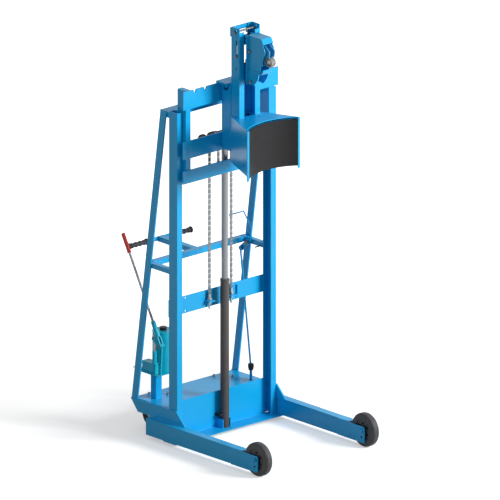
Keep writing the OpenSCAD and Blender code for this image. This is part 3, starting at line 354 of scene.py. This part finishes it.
# Moulded rubber tyre, dusty grey
GREY_TYRE = Finish(
    "dusty_grey_tyre", "tyre_rubber", "#434346", "#525254", "#646466", Surface.MOULDED,
    roughness=0.6, grain_mm=2, depth_mm=0.06, patch_mm=35, patch=0.5, edge_highlight_and_wear=0.2, specular=0.3,
)
# Castor wheel moulding, darker and less dusty
CASTOR_RUBBER = Finish(
    "dark_castor_rubber", "castor_rubber", "#202124", "#303136", "#45464a", Surface.MOULDED,
    roughness=0.5, grain_mm=2, depth_mm=0.05, patch_mm=30, patch=0.5, edge_highlight_and_wear=0.2, specular=0.3,
)
# Glass filled nylon hub with a satin skin
NYLON_HUB = Finish(
    "black_nylon_hub", "hub_black", "#17171a", "#222226", "#3c3c40", Surface.MOULDED,
    roughness=0.4, grain_mm=1.5, depth_mm=0.04, patch_mm=30, patch=0.4, edge_highlight_and_wear=0.3, specular=0.3,
)
# Soft PVC hand grip, matt with a light bloom
PVC_GRIP = Finish(
    "soft_pvc_grip", "grip_rubber", "#33373b", "#434850", "#5c6165", Surface.MOULDED,
    roughness=0.55, grain_mm=1.5, depth_mm=0.06, patch_mm=30, patch=0.5, edge_highlight_and_wear=0.3, specular=0.3,
)
# Dipped red vinyl: glossy and even
RED_VINYL = Finish(
    "dipped_red_vinyl", "red_grip", "#c9261d", "#a81c16", "#e25a50", Surface.MOULDED,
    roughness=0.34, coat=0.1, grain_mm=3, depth_mm=0.04, patch_mm=40, patch=0.3, specular=0.3,
)
# Moulded black cap
ABS_CAP = Finish(
    "moulded_black_abs", "cap_black", "#151517", "#202023", "#39393b", Surface.MOULDED,
    roughness=0.38, grain_mm=1.5, depth_mm=0.04, patch_mm=20, patch=0.4, specular=0.3,
)
# Black nylon of the sliding shoes
NYLON_SHOE = Finish(
    "black_nylon_shoe", "shoe_plastic", "#18181a", "#242427", "#3a3a3d", Surface.MOULDED,
    roughness=0.45, grain_mm=1.5, depth_mm=0.04, patch_mm=30, patch=0.4, specular=0.3,
)
# Bare bent plate of the beak, rubbed by drum rims in 16 mm patches
BEAK_STEEL = Finish(
    "rubbed_beak_steel", "beak_steel", "#8f9391", "#747876", "#b4b8b6",
    roughness=0.58, spread=0.08, grain_mm=1.2, depth_mm=0.03, patch_mm=16, patch=0.5, edge_highlight_and_wear=0.4,
    specular=0.2,
)
# Plain finished bolts and pins, dull and a little oily in 10 mm patches
BOLT_STEEL = Finish(
    "plain_bolt_steel", "bolt_steel", "#5f6468", "#43474a", "#9a9ea1",
    roughness=0.38, spread=0.08, metallic=0.6, grain_mm=1.2, depth_mm=0.02, patch_mm=10,
    patch=0.5, edge_highlight_and_wear=0.5,
)


def dress(name: str, finish: Finish) -> None:
    """Gives a carried-over node its finish.

    Args:
        name: Name of the node.
        finish: The finish.
    """
    slots = FRAME["nodes"][name].data.materials
    slots.clear()
    slots.append(finish.build())
    LOG.info("node %s in %s", name, finish.name)


def finished(name: str, bm: bmesh.types.BMesh, finish: Finish) -> bpy.types.Object:
    """Turns a bmesh into a finished piece in the row frame.

    Args:
        name: The piece's name.
        bm: Its mesh, which is freed.
        finish: Its finish, whose material goes into the mesh's material slot.

    Returns:
        The piece, which still needs a body to ride on.
    """
    bmesh.ops.recalc_face_normals(bm, faces=bm.faces)
    mesh = bpy.data.meshes.new(name)
    bm.to_mesh(mesh)
    bm.free()
    obj = bpy.data.objects.new(name, mesh)
    bpy.context.scene.collection.objects.link(obj)
    mesh.shade_smooth()
    mesh.set_sharp_from_angle(angle=SHARP_ANGLE)
    mesh.materials.append(finish.build())
    LOG.info("piece %s, %d faces", name, len(mesh.polygons))
    return obj


def skin(bm: bmesh.types.BMesh, rings: Sequence[Sequence[bmesh.types.BMVert]]) -> None:
    """Joins rings of corners into a closed body with flat ends.

    Args:
        bm: The mesh that holds the corners.
        rings: Rings of as many corners each, from one end to the other.
    """
    n = len(rings[0])
    for low, high in zip(rings, rings[1:]):
        for i in range(n):
            bm.faces.new((low[i], low[(i + 1) % n], high[(i + 1) % n], high[i]))
    bm.faces.new(list(reversed(rings[0])))
    bm.faces.new(rings[-1])


def prism(
    bm: bmesh.types.BMesh,
    outline: Sequence[Flat],
    depth: float,
    frame: Matrix,
    chamfer: float = 0.0,
) -> None:
    """Adds a closed prism, with its ends drawn in by a chamfer.

    Args:
        bm: The mesh that it goes into.
        outline: Its cross section, anticlockwise.
        depth: Its height along the frame's Z.
        frame: Places it in the row frame.
        chamfer: Width of the chamfer round both ends.
    """
    n = len(outline)
    cx = sum(p[0] for p in outline) / n
    cy = sum(p[1] for p in outline) / n
    steps = [(0.0, 0.0), (depth, 0.0)]
    if chamfer > 0:
        steps = [(0.0, chamfer), (chamfer, 0.0), (depth - chamfer, 0.0), (depth, chamfer)]
    rings = []
    for z, pull in steps:
        ring = []
        for x, y in outline:
            # A chamfer never draws a corner in by more than 80 percent of its reach
            r = math.hypot(x - cx, y - cy)
            k = max(r - pull, r * 0.2) / r
            ring.append(bm.verts.new(frame @ Vector((cx + (x - cx) * k, cy + (y - cy) * k, z))))
        rings.append(ring)
    skin(bm, rings)


def ring_points(radius: float, count: int, turn: float = 0.0) -> list[Flat]:
    """Gives points round a circle.

    Args:
        radius: Radius of the circle.
        count: Number of points.
        turn: Angle of the first point, in radians.

    Returns:
        The points, anticlockwise.
    """
    return [
        (
            radius * math.cos(turn + 2 * math.pi * i / count),
            radius * math.sin(turn + 2 * math.pi * i / count),
        )
        for i in range(count)
    ]


def facing(place: Point, way: Point) -> Matrix:
    """Places a part's Z along a direction.

    Args:
        place: Where its origin goes.
        way: The direction.

    Returns:
        The placing matrix.
    """
    turn = Vector(way).to_track_quat("Z", "Y").to_matrix().to_4x4()
    return Matrix.Translation(place) @ turn


@dataclass
class HexBolt:
    """A hexagon head on a washer, with the bolt's end standing out of it.

    Attributes:
        across: Width of the head across its corners.
        height: Height of the head.
        washer: Diameter of the washer.
        washer_depth: Thickness of the washer.
        thread_share: Radius of the bolt's end as a share of the head's width.
        thread_out: How far the bolt's end stands out past the head and washer.
        turn: Angle that the head was tightened to, in radians.
    """

    across: float
    height: float
    washer: float
    washer_depth: float = 0.0018
    thread_share: float = 0.26
    thread_out: float = 0.001
    turn: float = 0.3

    def add(self, bm: bmesh.types.BMesh, place: Point, way: Point) -> None:
        """Adds the bolt.

        Args:
            bm: The mesh that it goes into.
            place: The point on the surface that it sits on.
            way: The surface's outward normal.
        """
        at = facing(place, way)
        on_washer = at @ Matrix.Translation((0, 0, self.washer_depth))
        tall = self.height + self.washer_depth + self.thread_out
        prism(bm, ring_points(self.washer / 2, 28), self.washer_depth, at, 0.0004)
        prism(bm, ring_points(self.across / 2, 6, self.turn), self.height, on_washer, 0.0011)
        prism(bm, ring_points(self.across * self.thread_share, 20), tall, at, 0.0008)


@dataclass
class LeafChain:
    """A lifting chain of waisted link plates on pins.

    Attributes:
        pitch: Pin to pin distance.
        plate: Thickness of a link plate.
        depth: Height of a link plate at its ends.
        width: Width over the plates.
        pin: Diameter of a pin.
        pin_out: How far each end of a pin stands out past the plates.
        waist: Height of a plate's middle as a share of its ends.
    """

    pitch: float = 0.0159
    plate: float = 0.0022
    depth: float = 0.0088
    width: float = 0.0176
    pin: float = 0.0046
    pin_out: float = 0.0006
    waist: float = 0.72

    def outline(self) -> list[Flat]:
        """Gives a link plate's waisted outline, its length along X."""
        half, r = self.pitch / 2, self.depth / 2
        right = [
            (half + r * math.cos(a), r * math.sin(a))
            for a in (math.radians(d) for d in range(-90, 91, 30))
        ]
        waist = r * self.waist
        left = [(-x, -y) for x, y in right]
        return right + [(0.0, waist)] + left + [(0.0, -waist)]

    def link(self, bm: bmesh.types.BMesh, at: Matrix, wide: bool) -> None:
        """Adds one link: plates across the chain's width and a pin at its start.

        Args:
            bm: The mesh that it goes into.
            at: Its frame: X along the chain, Z across it, origin at its middle.
            wide: Whether its plates stand outside its neighbours'.
        """
        shape = self.outline()
        reach = self.width / 2
        # Outer links have plates at the edge and in the middle, inner links between these
        offsets = (
            (reach - self.plate, 0.1 * self.plate) if wide else (reach - 2.1 * self.plate,)
        )
        for off in offsets:
            for side in (-1, 1):
                z = side * (off + self.plate / 2) - self.plate / 2
                prism(bm, shape, self.plate, at @ Matrix.Translation((0, 0, z)))
        pin = at @ Matrix.Translation((-self.pitch / 2, 0, -reach - self.pin_out))
        prism(bm, ring_points(self.pin / 2, 10), self.width + 2 * self.pin_out, pin)

    def straight(self, bm: bmesh.types.BMesh, x: float, y: float, z0: float, z1: float) -> None:
        """Adds an upright run of links.

        Args:
            bm: The mesh that it goes into.
            x: Middle of the chain across.
            y: Middle of the chain front to back.
            z0: Height of its lower end.
            z1: Height of its upper end.
        """
        count = max(2, round((z1 - z0) / self.pitch))
        step = (z1 - z0) / count
        basis = Matrix(((0, 0, 1, x), (0, 1, 0, y), (-1, 0, 0, 0), (0, 0, 0, 1)))
        for i in range(count):
            at = basis.copy()
            at[2][3] = z0 + (i + 0.5) * step
            self.link(bm, at, i % 2 == 0)

    def over(self, bm: bmesh.types.BMesh, x: float, y: float, z: float, radius: float) -> None:
        """Adds the links that lie over a sheave.

        Args:
            bm: The mesh that it goes into.
            x: Middle of the chain across.
            y: Sheave axis front to back.
            z: Sheave axis height.
            radius: Pitch radius.
        """
        count = round(math.pi * radius / self.pitch)
        for i in range(count):
            a = math.pi * (i + 0.5) / count
            radial = Vector((0, math.cos(a), math.sin(a)))
            along = Vector((0, -math.sin(a), math.cos(a)))
            across = along.cross(radial)
            at = Matrix.Identity(4)
            for row in range(3):
                at[row][0], at[row][1], at[row][2] = along[row], radial[row], across[row]
            at.translation = Vector((x, y, z)) + radial * radius
            self.link(bm, at, i % 2 == 0)


@dataclass
class LiftChains:
    """Both lifting chains from the anchors over the sheaves to the carriage.

    Attributes:
        side: Distance of a chain from the middle.
        axis: Sheave axis as (y, z).
        radius: Pitch radius on the sheave.
        chain: The chain's make-up.
    """

    side: float = 0.084
    axis: Flat = (0.1375, 1.786)
    radius: float = 0.038
    chain: LeafChain = field(default_factory=LeafChain)

    def build(self) -> None:
        """Builds the rear falls, the wraps and the front falls."""
        y, z = self.axis
        low_r, high_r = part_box("chain_rear")[0][2], z
        low_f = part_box("chain_front")[0][2]
        rear, over, front = bmesh.new(), bmesh.new(), bmesh.new()
        for side in (-self.side, self.side):
            self.chain.straight(rear, side, y + self.radius, low_r, high_r)
            self.chain.over(over, side, y, z, self.radius)
            self.chain.straight(front, side, y - self.radius, low_f, z)
        piece = finished("lift_chain_rear_falls", rear, OILED_CHAIN)
        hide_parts("chain_rear")
        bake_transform(piece)
        piece = finished("lift_chain_wraps", over, OILED_CHAIN)
        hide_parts("chain_wrap")
        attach(piece, "ram")
        piece = finished("lift_chain_front_falls", front, OILED_CHAIN)
        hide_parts("chain_front")
        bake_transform(piece)


@dataclass(frozen=True)
class Lamp:
    """A square area lamp.

    Attributes:
        name: The lamp's name.
        place: Where it hangs.
        size: Length of its side.
        power: Its power in watts.
    """

    name: str
    place: Point
    size: float
    power: float

    def hang(self, aim: Point) -> None:
        """Hangs the lamp so that it faces a point.

        Args:
            aim: The point that it lights.
        """
        data = bpy.data.lights.new(self.name, "AREA")
        data.shape = "SQUARE"
        data.size = self.size
        data.energy = self.power
        obj = bpy.data.objects.new(self.name, data)
        bpy.context.scene.collection.objects.link(obj)
        obj.matrix_world = facing(self.place, tuple(Vector(self.place) - Vector(aim)))


# The key light stands ahead to the right, as in the photograph; the fill lifts the left side
LAMPS = (
    Lamp("key_lamp", (3.0, -5.4, 3.4), 2.4, 480),
    Lamp("fill_lamp", (-5.2, -1.6, 2.4), 3.0, 16),
)


@dataclass
class Studio:
    """Floor, backdrop light, lamps and camera.

    Attributes:
        aim: Point that the camera looks at.
        azimuth: Camera azimuth in degrees; 0 looks along +Y.
        elevation: Camera height above the horizon in degrees.
        span: Width of the orthographic view.
        reach: Distance of the camera.
        sky: Strength of the sky that lights the object.
        floor_glow: Light added to the floor under the object where it is looked at.
        near: Distance up to which the floor's light stays at floor_glow.
        far: Distance from which it is white.
    """

    aim: Point = (0.0, -0.0802, 1.1455)
    azimuth: float = -42.0
    elevation: float = 17.93
    span: float = 2.875
    reach: float = 9.0
    sky: float = 0.3
    floor_glow: float = 0.42
    near: float = 1.0
    far: float = 3.0

    def backdrop_share(self, tree: bpy.types.NodeTree) -> bpy.types.NodeSocket:
        """Makes a factor that is one where the backdrop is looked at, mirrored or seen through.

        Args:
            tree: The node tree.

        Returns:
            The factor's socket.
        """
        path = add_node(tree, "ShaderNodeLightPath")
        clear = add_node(
            tree,
            "ShaderNodeMath",
            {"operation": "MAXIMUM"},
            {0: path.outputs["Is Camera Ray"], 1: path.outputs["Is Transmission Ray"]},
        )
        return add_node(
            tree,
            "ShaderNodeMath",
            {"operation": "MAXIMUM"},
            {0: clear.outputs["Value"], 1: path.outputs["Is Glossy Ray"]},
        ).outputs["Value"]

    def floor(self) -> None:
        """Lays a pale matt floor that keeps the object's shadow."""
        bm = bmesh.new()
        # A disc of 12 m radius whose top lies 0.2 mm under the wheels
        prism(bm, ring_points(12.0, 64), 0.02, Matrix.Translation((0, 0, -0.0202)))
        mesh = bpy.data.meshes.new("studio_floor")
        bm.to_mesh(mesh)
        bm.free()
        obj = bpy.data.objects.new("studio_floor", mesh)
        bpy.context.scene.collection.objects.link(obj)
        mat = bpy.data.materials.new("pale_studio_floor")
        mat.use_nodes = True
        tree = mat.node_tree
        tree.nodes.clear()
        grey = add_node(tree, "ShaderNodeBsdfDiffuse", None, {"Color": srgb("#8c8c8c")})
        white = add_node(tree, "ShaderNodeBsdfDiffuse", None, {"Color": srgb("#fcfcfc")})
        # White a few metres out, darker under the object where its shadow lies
        place = add_node(tree, "ShaderNodeTexCoord")
        away = add_node(
            tree, "ShaderNodeVectorMath", {"operation": "LENGTH"}, {0: place.outputs["Object"]}
        )
        rise = add_node(
            tree,
            "ShaderNodeMapRange",
            None,
            {
                "Value": away.outputs["Value"],
                "From Min": self.near,
                "From Max": self.far,
                "To Min": self.floor_glow,
                "To Max": 1.0,
            },
        )
        glow = add_node(
            tree,
            "ShaderNodeEmission",
            None,
            {"Color": srgb("#ffffff"), "Strength": rise.outputs["Result"]},
        )
        pale = add_node(
            tree,
            "ShaderNodeAddShader",
            None,
            {0: white.outputs["BSDF"], 1: glow.outputs["Emission"]},
        )
        seen = add_node(
            tree,
            "ShaderNodeMixShader",
            None,
            {
                "Fac": self.backdrop_share(tree),
                1: grey.outputs["BSDF"],
                2: pale.outputs["Shader"],
            },
        )
        add_node(tree, "ShaderNodeOutputMaterial", None, {"Surface": seen.outputs["Shader"]})
        mesh.materials.append(mat)

    def world(self) -> None:
        """Sets a dim even sky that the camera and mirrors see as white."""
        world = bpy.data.worlds.new("studio_sky")
        bpy.context.scene.world = world
        world.use_nodes = True
        tree = world.node_tree
        tree.nodes.clear()
        soft = add_node(
            tree, "ShaderNodeBackground", None, {"Color": srgb("#ffffff"), "Strength": self.sky}
        )
        white = add_node(
            tree, "ShaderNodeBackground", None, {"Color": srgb("#ffffff"), "Strength": 1.0}
        )
        mix = add_node(
            tree,
            "ShaderNodeMixShader",
            None,
            {
                "Fac": self.backdrop_share(tree),
                1: soft.outputs["Background"],
                2: white.outputs["Background"],
            },
        )
        add_node(tree, "ShaderNodeOutputWorld", None, {"Surface": mix.outputs["Shader"]})

    def camera(self) -> None:
        """Stands the camera at the photograph's viewing angle."""
        az, el = math.radians(self.azimuth), math.radians(self.elevation)
        back = Vector(
            (math.sin(az) * math.cos(el), -math.cos(az) * math.cos(el), math.sin(el))
        )
        data = bpy.data.cameras.new("studio_camera")
        data.type = "ORTHO"
        data.ortho_scale = self.span
        data.clip_end = 60
        obj = bpy.data.objects.new("studio_camera", data)
        bpy.context.scene.collection.objects.link(obj)
        obj.location = Vector(self.aim) + back * self.reach
        obj.rotation_euler = (math.pi / 2 - el, 0, az)
        bpy.context.scene.camera = obj

    def build(self) -> None:
        """Sets up the whole studio."""
        self.floor()
        self.world()
        for lamp in LAMPS:
            lamp.hang(self.aim)
        self.camera()


def spot(x: float, y: float, z: float) -> Point:
    """Turns millimetres from the posts' front face into the row frame.

    Args:
        x: Distance to the right of the middle.
        y: Distance behind the posts' front face.
        z: Height above the floor.

    Returns:
        The point in metres.
    """
    return (x * MM, y * MM + POST_FACE, z * MM)


@dataclass
class WeldSeams:
    """Fillet welds along the painted frame's joints.

    Attributes:
        body: The body that the seams ride on.
        seams: Straight seams in millimetres for one side; each is mirrored.
        size: Radius of a bead.
        ripple: Length of one ripple.
        trough: Radius between two ripples as a share of the full one.
        end: Radius at a bead's ends as a share of the rest.
        sides: Corners round a bead.
    """

    body: str
    seams: Sequence[tuple[Point, Point]]
    size: float = 0.0034
    ripple: float = 0.0046
    trough: float = 0.84
    end: float = 0.55
    sides: int = 8

    def bead(self, bm: bmesh.types.BMesh, start: Vector, end: Vector) -> None:
        """Adds one rippled bead with closed ends.

        Args:
            bm: The mesh that it goes into.
            start: One end of the corner.
            end: The other end.
        """
        run = end - start
        count = max(4, round(run.length / self.ripple * 2))
        at = facing(tuple(start), tuple(run.normalized()))
        rings = []
        for i in range(count + 1):
            swell = 1.0 if i % 2 else self.trough
            r = self.size * swell * (self.end if i in (0, count) else 1.0)
            z = run.length * i / count
            round_it = ring_points(r, self.sides)
            rings.append([bm.verts.new(at @ Vector((x, y, z))) for x, y in round_it])
        skin(bm, rings)

    def build(self, name: str) -> None:
        """Builds the seams of both sides as one piece.

        Args:
            name: The piece's name.
        """
        bm = bmesh.new()
        for start, end in self.seams:
            for side in (-1, 1):
                ends = [Vector(spot(side * x, y, z)) for x, y, z in (start, end)]
                self.bead(bm, *ends)
        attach(finished(name, bm, BLUE_ENAMEL), self.body)


# Seams of the standing frame: base and front plates, posts, tie, braces, cross plate and handle
FRAME_SEAMS = (
    ((393, -74, 127), (393, 204, 127)),
    ((0, 52, 27), (340, 52, 27)),
    ((343, 0, 27), (383, 0, 27)),
    ((345, 70, 755), (382, 70, 755)),
    ((345, 70, 859), (382, 70, 859)),
    ((352, 70, 1017), (382, 70, 1017)),
    ((352, 70, 1047), (382, 70, 1047)),
    ((350, 235, 1047), (350, 273, 1047)),
    ((20, 275, 1047), (20, 275, 1018)),
    ((345, 70, 1961), (382, 70, 1961)),
    ((345, 70, 1995), (382, 70, 1995)),
    ((383, 88, 1995), (383, 132, 1995)),
    ((62, 70, 800), (106, 70, 800)),
)
# Seams of the carriage: cross bars on the uprights, head box, cheeks, columns and hook plate
CARRIAGE_SEAMS = (
    ((305, -27, 1657), (338, -27, 1657)),
    ((305, -27, 1727), (338, -27, 1727)),
    ((305, -27, 1834), (338, -27, 1834)),
    ((305, -27, 2026), (338, -27, 2026)),
    ((80.5, -126, 1742), (80.5, -126, 1952)),
    ((80.5, -131, 1954), (80.5, -197, 1954)),
    ((43, -198.5, 1954), (79, -198.5, 1954)),
)


@dataclass
class HexHeads:
    """Hexagon nuts and bolt heads that sit on the carried-over round ones.

    Attributes:
        body: The body that they ride on.
        places: Centres in millimetres for one side, each with its outward direction.
        across: Width over the corners.
        height: Height of a head.
        finish: What the heads are made of or painted with.
    """

    body: str
    places: Sequence[tuple[Point, Point]]
    across: float = 0.0175
    height: float = 0.004
    finish: Finish = BOLT_STEEL

    def build(self, name: str) -> None:
        """Builds the heads of both sides as one piece.

        Args:
            name: The piece's name.
        """
        bm = bmesh.new()
        bolt = HexBolt(self.across, self.height, self.across * 0.9)
        for (x, y, z), (over, back, up) in self.places:
            for side in (-1, 1):
                bolt.add(bm, spot(side * x, y, z), (side * over, back, up))
        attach(finished(name, bm, self.finish), self.body)


@dataclass
class LockCoupling:
    """Black threaded coupling on the floor lock's rod.

    Attributes:
        centre: Middle of the rod in millimetres as (x, y).
        low: Height of its lower end in millimetres.
        high: Height of its upper end in millimetres.
        radius: Outer radius.
        ribs: Number of knurled ribs round its middle.
        rib_radius: Radius of a rib.
        nut_radius: Radius of the jam nut over its corners.
        nut_depth: Height of the jam nut.
        nut_drop: Distance in millimetres from the sleeve's end down to the nut's lower face.
    """

    centre: Flat = (330.0, 158.0)
    low: float = 273.5
    high: float = 302.5
    radius: float = 0.0162
    ribs: int = 20
    rib_radius: float = 0.0009
    nut_radius: float = 0.0148
    nut_depth: float = 0.0085
    nut_drop: float = 9.0

    def build(self) -> None:
        """Builds the sleeve with a knurled middle and a hexagon jam nut under it."""
        x, y = self.centre
        bm = bmesh.new()
        tall = (self.high - self.low) * MM
        at = Matrix.Translation(spot(x, y, self.low))
        prism(bm, ring_points(self.radius, 40), tall, at, 0.0016)
        on_side = Matrix.Translation((self.radius, 0, tall * 0.2))
        for i in range(self.ribs):
            rib = at @ Matrix.Rotation(2 * math.pi * i / self.ribs, 4, "Z") @ on_side
            prism(bm, ring_points(self.rib_radius, 6), tall * 0.6, rib, 0.0003)
        nut = Matrix.Translation(spot(x, y, self.low - self.nut_drop))
        prism(bm, ring_points(self.nut_radius, 6, 0.4), self.nut_depth, nut, 0.0012)
        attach(finished("lock_rod_coupling", bm, BLACK_OXIDE), "lock_tie_rod")


# Axle nuts and deck bolts, then the bolts of the head columns and of the clamp
FRAME_HEADS = (((451, -734, 100), (1, 0, 0)),)
DECK_HEADS = tuple(((x, y, 212), (0, 0, 1)) for x in (215, 287) for y in (268, 348))
COLUMN_HEADS = (((90, -163, 2470), (1, 0, 0)), ((87, -174, 2326), (1, 0, 0)))
CLAMP_HEADS = (((44.5, -243, 2364), (1, 0, 0)), ((46.5, -256, 2184), (1, 0, 0)))


@dataclass
class Carried:
    """The carried-over nodes of the machine.

    Attributes:
        finishes: Each finish by its slot in the record.
    """

    finishes: dict[str, Finish] = field(
        default_factory=lambda: {
            f.slot: f
            for f in (
                BLUE_ENAMEL, JAW_ENAMEL, TURQUOISE_ENAMEL, BARREL_ENAMEL, HARD_CHROME, ZINC_STEEL,
                BLACK_OXIDE, OILED_CHAIN, CAST_ROLLER, PAD_RUBBER, GREY_TYRE,
                CASTOR_RUBBER, NYLON_HUB, PVC_GRIP, RED_VINYL, ABS_CAP, NYLON_SHOE, BEAK_STEEL,
                BOLT_STEEL,
            )
        }
    )

    def dress(self) -> None:
        """Gives each node the finish of its slot in the record."""
        for part in FRAME["record"]["subparts"]:
            dress(part["node"], self.finishes[part["material_slot"]])


def main() -> None:
    """Builds the studio and dresses the machine."""
    logging.basicConfig(level=logging.INFO, format="%(name)s: %(message)s")
    bpy.context.scene.view_settings.view_transform = "Standard"
    Studio().build()
    Carried().dress()
    LiftChains().build()
    WeldSeams("frame", FRAME_SEAMS).build("frame_weld_seams")
    WeldSeams("carriage", CARRIAGE_SEAMS).build("carriage_weld_seams")
    HexHeads("frame", FRAME_HEADS, 0.023, 0.005, BLUE_ENAMEL).build("axle_nut_faces")
    HexHeads("frame", DECK_HEADS, 0.0145, 0.003).build("deck_bolt_faces")
    HexHeads("carriage", COLUMN_HEADS).build("column_bolt_faces")
    HexHeads("clamp", CLAMP_HEADS).build("clamp_bolt_faces")
    LockCoupling().build()


if __name__ == "__main__":
    main()
